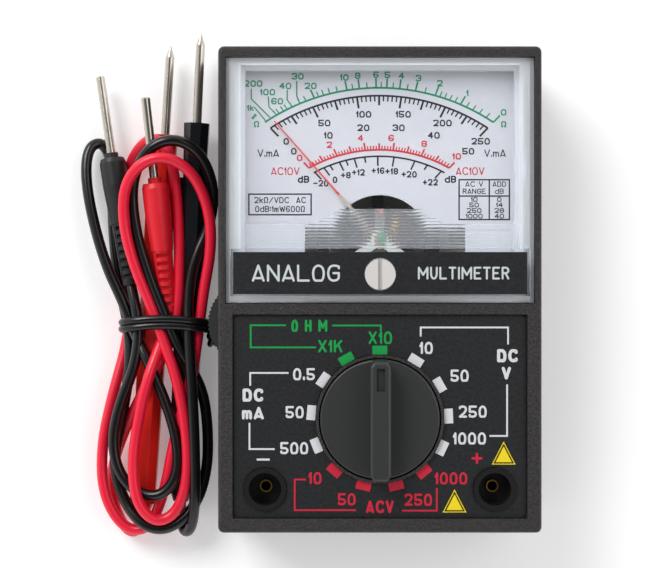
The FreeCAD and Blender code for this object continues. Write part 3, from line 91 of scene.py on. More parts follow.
BLACK_ROUTE = [
    (-0.0538, 0.0009, 0.0075), (-0.0526, -0.0036, 0.0086), (-0.0517, -0.0089, 0.0089),
    (-0.0526, -0.0167, 0.0093), (-0.0561, -0.0252, 0.0090), (-0.0577, -0.0328, 0.0086),
    (-0.0565, -0.0398, 0.0084), (-0.0522, -0.0445, 0.0087), (-0.0469, -0.0451, 0.0093),
    (-0.0432, -0.0405, 0.0094), (-0.0434, -0.0326, 0.0096), (-0.0460, -0.0240, 0.0098),
    (-0.0498, -0.0157, 0.0100), (-0.0532, -0.0089, 0.0074), (-0.0553, -0.0032, 0.0072),
    (-0.0595, 0.0055, 0.0066), (-0.0627, 0.0165, 0.0056), (-0.0642, 0.0254, 0.0046),
    (-0.0637, 0.0311, 0.0036), (-0.0613, 0.0327, 0.0026), (-0.0594, 0.0304, 0.0017),
    (-0.0588, 0.0259, 0.0013), (-0.0586, 0.0143, 0.0013), (-0.0574, 0.0026, 0.0030),
    (-0.0546, -0.0079, 0.0048), (-0.0540, -0.0167, 0.0062), (-0.0559, -0.0287, 0.0068),
    (-0.0578, -0.0375, 0.0062), (-0.0560, -0.0454, 0.0064), (-0.0514, -0.0515, 0.0085),
    (-0.0455, -0.0527, 0.0080), (-0.0397, -0.0478, 0.0074), (-0.0372, -0.0398, 0.0052),
    (-0.0371, -0.0299, 0.0052), (-0.0383, -0.0212, 0.0066), (-0.0428, -0.0135, 0.0099),
    (-0.0459, -0.0058, 0.0102), (-0.0497, 0.0037, 0.0102), (-0.0526, 0.0133, 0.0100),
    (-0.0532, 0.0234, 0.0112), (-0.0493, 0.0304, 0.0140), (-0.0433, 0.0325, 0.0142),
    (-0.0378, 0.0291, 0.0124), (-0.0352, 0.0215, 0.0100), (-0.0364, 0.0138, 0.0086),
    (-0.0399, 0.0065, 0.0094), (-0.0411, -0.0023, 0.0093), (-0.0409, -0.0110, 0.0105),
    (-0.0398, -0.0240, 0.0120), (-0.0394, -0.0371, 0.0110), (-0.0396, -0.0474, 0.0094),
    (-0.0409, -0.0532, 0.0064), (-0.0431, -0.0532, 0.0040), (-0.0432, -0.0466, 0.0045),
]


# ---------------------------------------------------------------- colours and nodes
def linear(code):
    """An sRGB hex colour as linear red, green and blue with full alpha."""
    parts = np.array([int(code[k:k + 2], 16) for k in (1, 3, 5)]) / 255
    bent = np.where(parts <= 0.04045, parts / 12.92, ((parts + 0.055) / 1.055) ** 2.4)
    return (*[float(part) for part in bent], 1.0)


def add_node(tree, kind, settings=None, inputs=None, links=None):
    """A node of this kind with its settings, socket values and incoming links."""
    made = tree.nodes.new(kind)
    for name, setting in (settings or {}).items():
        setattr(made, name, setting)
    for name, number in (inputs or {}).items():
        made.inputs[name].default_value = number
    for name, socket in (links or {}).items():
        tree.links.new(socket, made.inputs[name])
    return made


def new_material(name):
    """An empty node material and its tree."""
    made = bpy.data.materials.new(name)
    made.use_nodes = True
    made.node_tree.nodes.clear()
    return made, made.node_tree


def close_material(tree, shader):
    add_node(tree, "ShaderNodeOutputMaterial", links={"Surface": shader.outputs[0]})


def grain_noise(tree, grain_mm, **inputs):
    """Noise with grains this wide over a piece; inputs are the node's other values."""
    place = add_node(tree, "ShaderNodeTexCoord")
    noise = add_node(tree, "ShaderNodeTexNoise", inputs={"Scale": 1 / (grain_mm * MM), **inputs},
                     links={"Vector": place.outputs["Object"]})
    return noise.outputs["Fac"]


def grain_normal(tree, grain_mm, depth_mm):
    """The normal of a surface with grains this wide and this deep."""
    bump = add_node(tree, "ShaderNodeBump", inputs={"Distance": depth_mm * MM, "Strength": 1.0},
                    links={"Height": grain_noise(tree, grain_mm, Detail=3.0, Roughness=0.6)})
    return bump.outputs["Normal"]


def plastic(name, code, roughness, grain_mm=0.0, depth_mm=0.0, ior=1.5, mottle=0.0):
    """Moulded plastic: one colour, a gloss, and the grain that the mould leaves."""
    made, tree = new_material(name)
    shader = add_node(tree, "ShaderNodeBsdfPrincipled",
                      inputs={"Base Color": linear(code), "Roughness": roughness, "IOR": ior})
    if grain_mm:
        tree.links.new(grain_normal(tree, grain_mm, depth_mm), shader.inputs["Normal"])
    if mottle:
        # the colour varies in patches somewhat wider than the grains
        patches = grain_noise(tree, grain_mm * 1.6, Detail=2.0)
        spread = add_node(tree, "ShaderNodeMapRange",
                          inputs={"From Min": 0.35, "From Max": 0.65, "To Min": 1 - mottle,
                                  "To Max": 1 + mottle},
                          links={"Value": patches})
        tint = add_node(tree, "ShaderNodeVectorMath", settings={"operation": "SCALE"},
                        links={"Scale": spread.outputs["Result"]})
        tint.inputs[0].default_value = linear(code)[:3]
        tree.links.new(tint.outputs["Vector"], shader.inputs["Base Color"])
    close_material(tree, shader)
    return made


def metal(name, code, roughness, grain_mm=0.0, depth_mm=0.0):
    """Bare or plated metal with the marks of its making."""
    made, tree = new_material(name)
    shader = add_node(tree, "ShaderNodeBsdfPrincipled",
                      inputs={"Base Color": linear(code), "Roughness": roughness, "Metallic": 1.0})
    if grain_mm:
        tree.links.new(grain_normal(tree, grain_mm, depth_mm), shader.inputs["Normal"])
    close_material(tree, shader)
    return made


def clear_styrene(name, roughness, milk=0.0):
    """Clear polystyrene moulding: it bends and mirrors light, and lets lamps through to the dial.

    milk is the share of light that a roughened surface scatters back as white."""
    made, tree = new_material(name)
    glass = add_node(tree, "ShaderNodeBsdfPrincipled",
                     inputs={"Base Color": linear("#fbfdff"), "Roughness": roughness, "IOR": 1.49,
                             "Transmission Weight": 1.0 - milk})
    open_air = add_node(tree, "ShaderNodeBsdfTransparent", inputs={"Color": linear("#f4f8fc")})
    path = add_node(tree, "ShaderNodeLightPath")
    mix = add_node(tree, "ShaderNodeMixShader",
                   links={"Fac": path.outputs["Is Shadow Ray"]})
    tree.links.new(glass.outputs[0], mix.inputs[1])
    tree.links.new(open_air.outputs[0], mix.inputs[2])
    close_material(tree, mix)
    return made


# the pointer is painted from this far out of its pivot
PAINT_START = 12.7 * MM


def painted_pointer(name):
    """Aluminium pointer, bare near its hub and dipped in red paint along its front."""
    made, tree = new_material(name)
    place = add_node(tree, "ShaderNodeTexCoord")
    span = add_node(tree, "ShaderNodeVectorMath", settings={"operation": "DISTANCE"},
                    links={0: place.outputs["Object"]})
    span.inputs[1].default_value = (PIVOT_X, PIVOT_Y, DIAL_TOP + 0.8 * MM)
    painted = add_node(tree, "ShaderNodeMath", settings={"operation": "GREATER_THAN"},
                       links={0: span.outputs["Value"]})
    painted.inputs[1].default_value = PAINT_START
    colour = add_node(tree, "ShaderNodeMix", settings={"data_type": "RGBA"},
                      links={0: painted.outputs[0]})
    colour.inputs[6].default_value = linear("#b9aca0")
    colour.inputs[7].default_value = linear("#e8403c")
    shader = add_node(tree, "ShaderNodeBsdfPrincipled", inputs={"Roughness": 0.45},
                      links={"Base Color": colour.outputs[2]})
    close_material(tree, shader)
    return made


# ---------------------------------------------------------------- shapes
def ray_at(angle):
    """A unit vector this many degrees clockwise from straight up."""
    return np.array([math.sin(math.radians(angle)), math.cos(math.radians(angle))])


class Shape:
    """Points in millimetres and faces gathered into one mesh."""

    def __init__(self):
        self.points = []
        self.faces = []
        self.count = 0

    def add(self, points, faces):
        """Joins an array of points and a list of faces on them."""
        self.points.append(np.asarray(points, dtype=float))
        self.faces.extend([tuple(int(k) + self.count for k in face) for face in faces])
        self.count += len(points)

    def grid(self, points, wrap=False):
        """A sheet through rows of points; wrap joins each row's last point to its first."""
        rows, columns = points.shape[:2]
        index = np.arange(rows * columns).reshape(rows, columns)
        if wrap:
            index = np.concatenate([index, index[:, :1]], axis=1)
        faces = np.stack([index[:-1, :-1], index[:-1, 1:], index[1:, 1:], index[1:, :-1]], axis=-1)
        self.add(points.reshape(-1, 3), faces.reshape(-1, 4).tolist())

    def mesh_object(self, name, material, body, smooth=False, film=0.0):
        """The piece itself, riding on a CAD body; film is the thickness a flat print gets."""
        mesh = bpy.data.meshes.new(name)
        mesh.from_pydata((np.concatenate(self.points) * MM).tolist(), [], self.faces)
        mesh.polygons.foreach_set("use_smooth", [smooth] * len(mesh.polygons))
        mesh.materials.append(material)
        piece = bpy.data.objects.new(name, mesh)
        bpy.context.collection.objects.link(piece)
        if film:
            wall = piece.modifiers.new("film", "SOLIDIFY")
            wall.thickness = film
            wall.offset = -1
        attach(piece, body)
        return piece


# an ink's thickness, and how far it stands over the printed face
INK_FILM, INK_RISE = 0.02 * MM, 0.03 * MM
# millimetres from one shape of a print to the next, shapes before the steps repeat, and the
# climb from point to point
LEVEL_STEP, LEVELS, LEVEL_CLIMB = 0.0008, 29, 0.00002


class Print(Shape):
    """Flat ink shapes in millimetres, facing up at one level."""

    def __init__(self, level):
        super().__init__()
        self.level = level / MM
        self.layer = 0

    def flat(self, xy, faces):
        xy = np.asarray(xy, dtype=float)
        # shapes that cross lie a hair apart, or their shared faces would go dark, and each one
        # climbs along its length so that a tight bend does not meet itself
        climb = np.arange(len(xy))[:, None] * LEVEL_CLIMB
        heights = self.level + LEVEL_STEP * (self.layer % LEVELS) + climb
        self.layer += 1
        self.add(np.concatenate([xy, heights], axis=1), faces)

    def bar(self, start, end, width):
        """A straight stroke of this width from start to end."""
        start, end = np.array(start, float), np.array(end, float)
        along = (end - start) / np.linalg.norm(end - start)
        across = np.array([-along[1], along[0]]) * width / 2
        self.flat([start - across, end - across, end + across, start + across], [(0, 1, 2, 3)])

    def path(self, points, width):
        """Strokes through the points, each run past its corner by half the width."""
        for start, end in zip(points, points[1:]):
            start, end = np.array(start, float), np.array(end, float)
            extra = (end - start) / np.linalg.norm(end - start) * width / 2
            self.bar(start - extra, end + extra, width)

    def arc(self, centre, radius, width, first, last, steps=96):
        """A stroke along an arc; angles in degrees clockwise from straight up."""
        angle = np.radians(np.linspace(first, last, steps))
        ray = np.stack([np.sin(angle), np.cos(angle)], axis=1)
        inner = np.array(centre) + ray * (radius - width / 2)
        outer = np.array(centre) + ray * (radius + width / 2)
        faces = [(k, k + 1, steps + k + 1, steps + k) for k in range(steps - 1)]
        self.flat(np.concatenate([inner, outer]), faces)

    def polygon(self, corners):
        self.flat(corners, [tuple(range(len(corners)))])

    def stroke(self, points, width):
        """A line of this width through the points, mitred at its bends and round at its ends."""
        points = np.asarray(points, float)
        run = np.diff(points, axis=0)
        run = run[np.linalg.norm(run, axis=1) > 1e-6]
        points = np.concatenate([points[:1], points[0] + np.cumsum(run, axis=0)])
        run /= np.linalg.norm(run, axis=1, keepdims=True)
        square = np.stack([-run[:, 1], run[:, 0]], axis=1)
        side = np.concatenate([square[:1], (square[:-1] + square[1:]) / 2, square[-1:]])
        side /= np.maximum((side ** 2).sum(axis=1, keepdims=True), 0.35)
        edges = np.concatenate([points - side * width / 2, points + side * width / 2])
        count = len(points)
        self.flat(edges, [(k, k + 1, count + k + 1, count + k) for k in range(count - 1)])
        turn = np.linspace(0, math.pi, 7)[:, None]
        for end, ahead, across in ((points[-1], run[-1], -square[-1]), (points[0], -run[0], square[0])):
            cap = end + (np.cos(turn) * across + np.sin(turn) * ahead) * width / 2
            self.flat(cap, [tuple(range(len(cap)))])

    def words(self, text, centre, height, stretch=1.0, turn=0.0, weight=0.2):
        """Draughtsman's lettering: strokes with rounded bends, centred, turned clockwise.

        height is over the ink, weight is the stroke's share of it, stretch widens the letters."""
        width = weight * height
        rise = (height - width) / 6
        spread = (stretch * height * 4 / 6 - width) / 4
        gap = width + 0.13 * height
        strokes, reach = [], 0.0
        for letter in text:
            lines = [part for line in LETTERS.get(letter, "").split("|") for part in parts(line)]
            if not lines:
                reach += 0.5 * height * stretch
                continue
            low = min(line[:, 0].min() for line in lines) * spread
            high = max(line[:, 0].max() for line in lines) * spread
            strokes += [line * np.array([spread, rise]) + np.array([reach - low, 0]) for line in lines]
            reach += high - low + gap
        middle = np.array([(reach - gap) / 2, 3 * rise])
        angle = math.radians(turn)
        spin = np.array([[math.cos(angle), -math.sin(angle)], [math.sin(angle), math.cos(angle)]])
        for line in strokes:
            self.stroke((line - middle) @ spin + np.array(centre), width)


# Letters on a field 4 wide and 6 high: lines of xy pairs, split by bars. A doubled point is a
# sharp corner, and other corners are rounded.
LETTERS = {
    "0": "20 40 46 06 00 20", "1": "14 14 26 26 20", "2": "05 06 46 43 00 00 40",
    "3": "05 06 46 43 23|23 43 40 00 01", "4": "30 36 36 02 02 42", "5": "46 06 06 03 03 43 40 00 01",
    "6": "45 46 06 00 40 43 03", "8": "23 43 46 06 03 23|23 43 40 00 03 23",
    "A": "00 26 26 40|11 31", "C": "45 46 06 00 40 41",
    "D": "20 00 00 06 06 46 40 20", "E": "46 06 06 00 00 40|03 33", "G": "45 46 06 00 40 43 43 23",
    "H": "00 06|40 46|03 43", "I": "20 26", "K": "00 06|46 02|24 40", "L": "06 00 00 40",
    "M": "00 06 06 32 32 66 66 60", "N": "00 06 06 40 40 46", "O": "20 40 46 06 00 20",
    "R": "00 06 06 46 43 03|23 40", "T": "06 46|26 20", "U": "06 00 40 46", "V": "06 20 20 46",
    "W": "06 20 20 35 35 50 50 66", "X": "06 40|00 46", "d": "46 40|41 40 00 04 44 43",
    "B": "00 06 06 46 43 03|23 43 40 00 00", "m": "00 04|01 04 24 20|21 24 44 40",
    "Ω": "00 10 10 03 06 46 43 30 30 40", "∞": "23 05 01 23 45 41 23", "+": "03 43|21 25",
    "-": "03 43", ".": "20 21", "/": "00 46", ":": "21 22|24 25", "k": "00 06|34 02|13 30",
}


def parts(line):
    """The stretches of one line between its doubled points, each with its corners rounded."""
    stretches = [[]]
    pairs = line.split()
    for pair, following in zip(pairs, pairs[1:] + [""]):
        stretches[-1].append((int(pair[0]), int(pair[1])))
        if pair == following:
            stretches.append([])
    return [rounded(np.array(stretch, float)) for stretch in stretches if len(stretch) > 1]


def rounded(points):
    """These points with their corners cut to curves, by halving cuts."""
    for _ in range(3 if len(points) > 2 else 0):
        ahead, behind = points[:-1], points[1:]
        cuts = np.stack([ahead * 0.72 + behind * 0.28, ahead * 0.28 + behind * 0.72], axis=1)
        points = np.concatenate([points[:1], cuts.reshape(-1, 2), points[-1:]])
    return points


def tube(path, radius, around=14, reference=(0.0, 0.0, 1.0)):
    """Circles of the given radii set square to a path: P + r (cos a N + sin a B)."""
    path = np.asarray(path, float)
    tangent = np.gradient(path, axis=0)
    tangent /= np.linalg.norm(tangent, axis=1, keepdims=True)
    side = np.cross(tangent, np.array(reference))
    side /= np.linalg.norm(side, axis=1, keepdims=True)
    upward = np.cross(side, tangent)
    angle = np.linspace(0, 2 * math.pi, around, endpoint=False)[None, :, None]
    radius = np.broadcast_to(radius, len(path))[:, None, None]
    ring = np.cos(angle) * side[:, None, :] + np.sin(angle) * upward[:, None, :]
    return path[:, None, :] + radius * ring


def rounded_ends(count, radius, tip=4):
    """Radii of a rod that closes in a quarter circle at both ends."""
    radii = np.full(count, radius)
    close = radius * np.sqrt(1 - np.linspace(1, 0, tip) ** 2)
    close[0] = 0.0
    radii[:tip] = close
    radii[-tip:] = close[::-1]
    return radii


# ---------------------------------------------------------------- properties
def ink(name, code):
    """A colour that the panel lets a person change."""
    return StringProperty(name=name, description="sRGB hex colour", default=code)


class CaseFinish(PropertyGroup):
    """Colours and grain of the case, knob and label."""

    case_colour: ink("Case colour", "#1f1b1a")
    knob_colour: ink("Knob colour", "#303131")
    label_colour: ink("Label colour", "#1a1b1d")
    case_grain: FloatProperty(name="Case grain", description="Width of the mould's spark grain, mm",
                              default=0.36, min=0.05, max=2.0)


class InkColours(PropertyGroup):
    """Ink colours of the dial and the panel."""

    dial_green: ink("Ohms ink", "#0f8a5f")
    dial_black: ink("Scale ink", "#17181c")
    dial_red: ink("AC ink", "#d2303a")
    panel_green: ink("Panel green", "#0e9a48")
    panel_white: ink("Panel white", "#d8d9de")
    panel_red: ink("Panel red", "#c9203a")
    panel_yellow: ink("Panel yellow", "#f2d81f")


class LeadSizes(PropertyGroup):
    """Sizes of the test leads."""

    diameter: FloatProperty(name="Cable diameter", description="Outside diameter of a cable",
                            default=2.4 * MM, unit="LENGTH")
    tie_strand: FloatProperty(name="Tie strand", description="Diameter of the tie's cord",
                              default=1.7 * MM, unit="LENGTH")


class StageSizes(PropertyGroup):
    """Camera and lamps."""

    camera_height: FloatProperty(name="Camera height", description="Height above the table",
                                 default=0.327, unit="LENGTH")
    camera_place: FloatVectorProperty(name="Camera place", description="Point below the camera",
                                      size=2, default=(-9.63 * MM, 1.13 * MM), subtype="XYZ")
    focal_length: FloatProperty(name="Focal length", description="Lens on a 36 mm wide sensor, mm",
                                default=79.1, min=10.0)
    key_power: FloatProperty(name="Key power", description="Power of the key lamp, watts",
                             default=6.5, min=0.0)
    fill_power: FloatProperty(name="Fill power", description="Power of the fill lamps, watts",
                              default=1.8, min=0.0)
    sky: FloatProperty(name="Sky", description="Strength of the even light near the horizon",
                       default=0.9, min=0.0)


# ---------------------------------------------------------------- camera and leads
class METER_OT_camera(Operator):
    """Camera straight above the meter and its leads"""

    bl_idname = "meter.camera"
    bl_label = "Camera"

    def execute(self, context):
        sizes = context.scene.meter_stage
        lens = bpy.data.cameras.new("camera")
        lens.lens = sizes.focal_length
        lens.sensor_width = 36.0
        lens.clip_start = 0.01
        camera = bpy.data.objects.new("camera", lens)
        camera.location = (*sizes.camera_place, sizes.camera_height)
        context.collection.objects.link(camera)
        context.scene.camera = camera
        return {"FINISHED"}


class METER_OT_leads(Operator):
    """Two limp cables, each from its plug to its probe"""

    bl_idname = "meter.leads"
    bl_label = "Test leads"

    def execute(self, context):
        sizes = context.scene.meter_leads
        # soft PVC off an extruder: smooth and fairly glossy, with broad highlights
        finishes = {"red": plastic("red_soft_pvc", "#f21a3c", 0.33, ior=1.52),
                    "black": plastic("black_soft_pvc", "#0c0d0f", 0.25, ior=1.52)}
        for colour, route, length in (("red", RED_ROUTE, 0.423), ("black", BLACK_ROUTE, 0.422)):
            line = bpy.data.curves.new(colour + "_cable", "CURVE")
            line.dimensions = "3D"
            line.bevel_depth = sizes.diameter / 2
            line.bevel_resolution = 5
            line.resolution_u = 8
            line.use_fill_caps = True
            spline = line.splines.new("NURBS")
            spline.points.add(len(route) - 1)
            for point, place in zip(spline.points, route):
                point.co = (*place, 1.0)
            spline.order_u = 3
            spline.use_endpoint_u = True
            line.materials.append(finishes[colour])
            cable = bpy.data.objects.new(colour + "_cable", line)
            context.collection.objects.link(cable)
            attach(cable, "leads")
            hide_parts(colour + "_lead")
            pieces = [colour + end for end in ("_plug", "_plug_pin", "_probe", "_probe_tip")]
            if colour == "red":
                pieces.append(bpy.data.objects["bundle_tie"])
        return {"FINISHED"}


class METER_OT_tie(Operator):
    """Two turns of round cord drawn tight about both leads, with a twisted tail"""

    bl_idname = "meter.tie"
    bl_label = "Lead tie"

    def execute(self, context):
        radius = context.scene.meter_leads.tie_strand / 2 / MM
        low, high = np.array(TIE_LOW) / MM, np.array(TIE_HIGH) / MM
        middle = (low + high) / 2 + np.array([0.3, 0, 0])
        half_x = (high[0] - low[0]) / 2 - radius - 0.5
        half_z = (high[2] - low[2]) / 2 - radius
        shape = Shape()
        angle = np.linspace(0, 2 * math.pi, 121)
        for side in (-1, 1):
            # superellipse |x/a|^3 + |z/b|^3 = 1, bowed in y
            x = middle[0] + half_x * np.sign(np.cos(angle)) * np.abs(np.cos(angle)) ** (2 / 3)
            z = middle[2] + half_z * np.sign(np.sin(angle)) * np.abs(np.sin(angle)) ** (2 / 3)
            bow = 0.9 * (1 - ((x - middle[0]) / half_x) ** 2) * (z > middle[2])
            y = middle[1] + side * radius * 0.86 + bow - 0.4
            shape.grid(tube(np.stack([x, y, z], axis=1), radius, reference=(0, 1, 0)), wrap=True)
        along = np.linspace(0, 1, 60)
        for start in (0, math.pi):
            turn = start + along * 3.2 * math.pi
            x = high[0] - 0.2 + radius * 0.75 * np.cos(turn) + along * 0.3
            y = middle[1] + 0.6 - along * 5.4
            z = middle[2] + 1.2 + radius * 0.75 * np.sin(turn) - along * 2.0
            shape.grid(tube(np.stack([x, y, z], axis=1), rounded_ends(60, radius * 0.8)), wrap=True)
        # the tie's cord: black PVC, glossy
        tie = shape.mesh_object("bundle_tie", plastic("black_tie_pvc", "#0d0e10", 0.22, ior=1.52),
                                "leads", smooth=True)
        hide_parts("lead_tie")
        return {"FINISHED"}


# ---------------------------------------------------------------- finishes of the CAD pieces
# height of the window's flange and places of the jack collars, in millimetres
FLANGE_TOP = 26.2
JACK_X, JACK_Y, COLLAR_RADIUS = 23.6, -41.0, 4.45


def part_finish(node, finish, chosen):
    """Gives a finish to the faces of a CAD piece whose middles in mm and slope pass a test."""
    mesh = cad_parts[node].data
    mesh.materials.append(finish)
    middle, normal = np.empty(len(mesh.polygons) * 3), np.empty(len(mesh.polygons) * 3)
    mesh.polygons.foreach_get("center", middle)
    mesh.polygons.foreach_get("normal", normal)
    picked = chosen(*(middle.reshape(-1, 3).T / MM), normal.reshape(-1, 3)[:, 2])
    mesh.polygons.foreach_set("material_index", picked.astype(np.int32))


class METER_OT_finishes(Operator):
    """Gives every CAD piece the finish of what it is made of"""

    bl_idname = "meter.finishes"
    bl_label = "Finishes"

    def execute(self, context):
        look = context.scene.meter_case
        finishes = {
            # ABS from a spark-eroded mould: a fine even grain that breaks up the light
            plastic("spark_grained_abs", look.case_colour, 0.42, look.case_grain, 0.3,
                    mottle=0.75): ("front_case", "rear_case"),
            # knob ABS: finer grain, a little more sheen on its edges
            plastic("satin_abs", look.knob_colour, 0.4, 0.22, 0.012):
                ("selector_knob", "zero_ohm_wheel"),
            # polyester film over black print: soft sheen with a faint leather-like surface
            plastic("polyester_film", look.label_colour, 0.44, 0.4, 0.05, mottle=0.35):
                ("range_label",),
            plastic("printed_band_film", "#121317", 0.42, 0.36, 0.09, mottle=0.6): ("name_band",),
            clear_styrene("clear_polystyrene", 0.0): ("meter_window",),
            plastic("white_nylon", "#d2cfcd", 0.38, 0.8, 0.004): ("zero_screw",),
            plastic("white_dial_enamel", "#d6d3d6", 0.5): ("dial_plate",),
            painted_pointer("painted_pointer"): ("pointer",),
            metal("zinc_plated_steel", "#c7c6c2", 0.32, 0.3, 0.003):
                ("case_screws", "movement_screws", "pcb_screws", "detent_balls",
                 "detent_springs", "pivot_shafts"),
            metal("nickel_plated_brass", "#cfc8bd", 0.24, 0.5, 0.002):
                ("red_plug_pin", "black_plug_pin", "red_probe_tip", "black_probe_tip",
                 "fuse_clips", "battery_positive", "battery_negative", "zero_lever"),
            metal("turned_brass", "#b98f4c", 0.35, 0.3, 0.003):
                ("jack_sleeves", "dial_screws", "bridge_screws", "top_jewel_screw",
                 "bottom_jewel_screw", "counterweights", "pot_rivet"),
            metal("phosphor_bronze", "#b5794e", 0.35):
                ("hairspring_top", "hairspring_bottom", "wiper_springs"),
            # dull as-cast skin: mostly scattered light, so it stays pale in the case's shade
            plastic("as_cast_zinc", "#d9d2c8", 0.34, 0.4, 0.02):
                ("movement_frame", "upper_bridge", "coil_former"),
            # near black yoke, core holder and magnet and a dark coil: partly the yoke's and magnet's
            # own dark finish, partly painted shade that turns the dial's half-round opening solid black
            plastic("black_oxide_and_painted_shade", "#141414", 0.5, 0.4, 0.004): ("yoke_ring", "core_holder"),
            plastic("sintered_magnet", "#131314", 0.7, 0.3, 0.01): ("core_magnet",),
            metal("enamelled_copper", "#5c2b17", 0.4, 0.25, 0.02): ("moving_coil",),
            plastic("phenolic_laminate", "#7d5a2b", 0.55, 0.6, 0.006): ("pcb", "pot_base"),
            plastic("lacquered_component", "#c6a878", 0.35): ("resistors", "diodes", "capacitor"),
            clear_styrene("fuse_glass", 0.0): ("fuse",),
            plastic("battery_sleeve", "#23406f", 0.3): ("battery",),
            plastic("pvc_insulation", "#b8301d", 0.35): ("movement_wires", "battery_wires"),
            plastic("black_polystyrene", "#14171c", 0.16, 0.8, 0.004): ("black_probe",),
            plastic("red_polystyrene", "#ee2a22", 0.25, 0.8, 0.01): ("red_probe",),
            plastic("black_plug_pvc", "#17181a", 0.42, 0.3, 0.012): ("black_plug",),
            plastic("red_plug_pvc", "#e81c2e", 0.4, 0.3, 0.012): ("red_plug",),
        }
        for finish, nodes in finishes.items():
            for node in nodes:
                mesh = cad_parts[node].data
                mesh.materials.clear()
                mesh.materials.append(finish)
        # the window's walls and flange are left rough from the mould; the jack collars are smooth
        part_finish("meter_window", clear_styrene("frosted_polystyrene", 0.3, milk=0.36),
                    lambda x, y, z, up: (abs(up) < 0.95) | (z < FLANGE_TOP))
        part_finish("front_case", plastic("smooth_abs", "#1b1a1a", 0.3, 0.6, 0.01),
                    lambda x, y, z, up: np.hypot(abs(x) - JACK_X, y - JACK_Y) < COLLAR_RADIUS)
        return {"FINISHED"}


# ---------------------------------------------------------------- dial print
ARC_CENTRE = (0.0, -1.0)
SCALE_END = 44.0
OHMS_MIDDLE = 5.7
FULL_VOLTS = 10.0
# radii of the scales about the arcs' centre, and of the numerals under them, in millimetres
OHMS_RADIUS, VOLTS_RADIUS, AC_RADIUS, DECIBEL_RADIUS = 43.1, 41.45, 30.15, 28.8
UPPER_NUMERALS, LOWER_NUMERALS, DECIBEL_NUMERALS = 38.1, 35.15, 25.9
# height and stretch of the ohms and AC numerals
NUMERAL = (1.35, 1.3)


def dial_point(angle, radius):
    """Where the pointer at this angle from straight up crosses the arc of this radius."""
    ray = ray_at(angle)
    pivot = np.array([PIVOT_X, PIVOT_Y]) / MM
    offset = pivot - np.array(ARC_CENTRE)
    along = -offset @ ray + math.sqrt((offset @ ray) ** 2 - offset @ offset + radius ** 2)
    return pivot + along * ray


def arc_end(radius):
    """The angle about the arcs' centre where the pointer at the scale's end meets an arc."""
    x, y = dial_point(SCALE_END, radius) - np.array(ARC_CENTRE)
    return math.degrees(math.atan2(x, y))


def share_angle(share):
    """The pointer's angle at this share of full scale."""
    return -SCALE_END + 2 * SCALE_END * share


def scale_point(share, radius):
    """Where the pointer at this share of full scale crosses the arc of this radius."""
    return dial_point(share_angle(share), radius)


def ohms_share(ohms):
    """Share of full scale for a resistance: half scale is the meter's own resistance."""
    return OHMS_MIDDLE / (OHMS_MIDDLE + ohms)


def decibel_share(level):
    """Share of ten volts for a level in dB over one milliwatt in 600 ohms, 0.775 V."""
    return 0.775 * 10 ** (level / 20) / FULL_VOLTS


def tick(layer, share, radius, length, width):
    """A mark along the pointer from an arc, outward or, if negative, inward."""
    start = scale_point(share, radius)
    layer.bar(start, start + ray_at(share_angle(share)) * length, width)


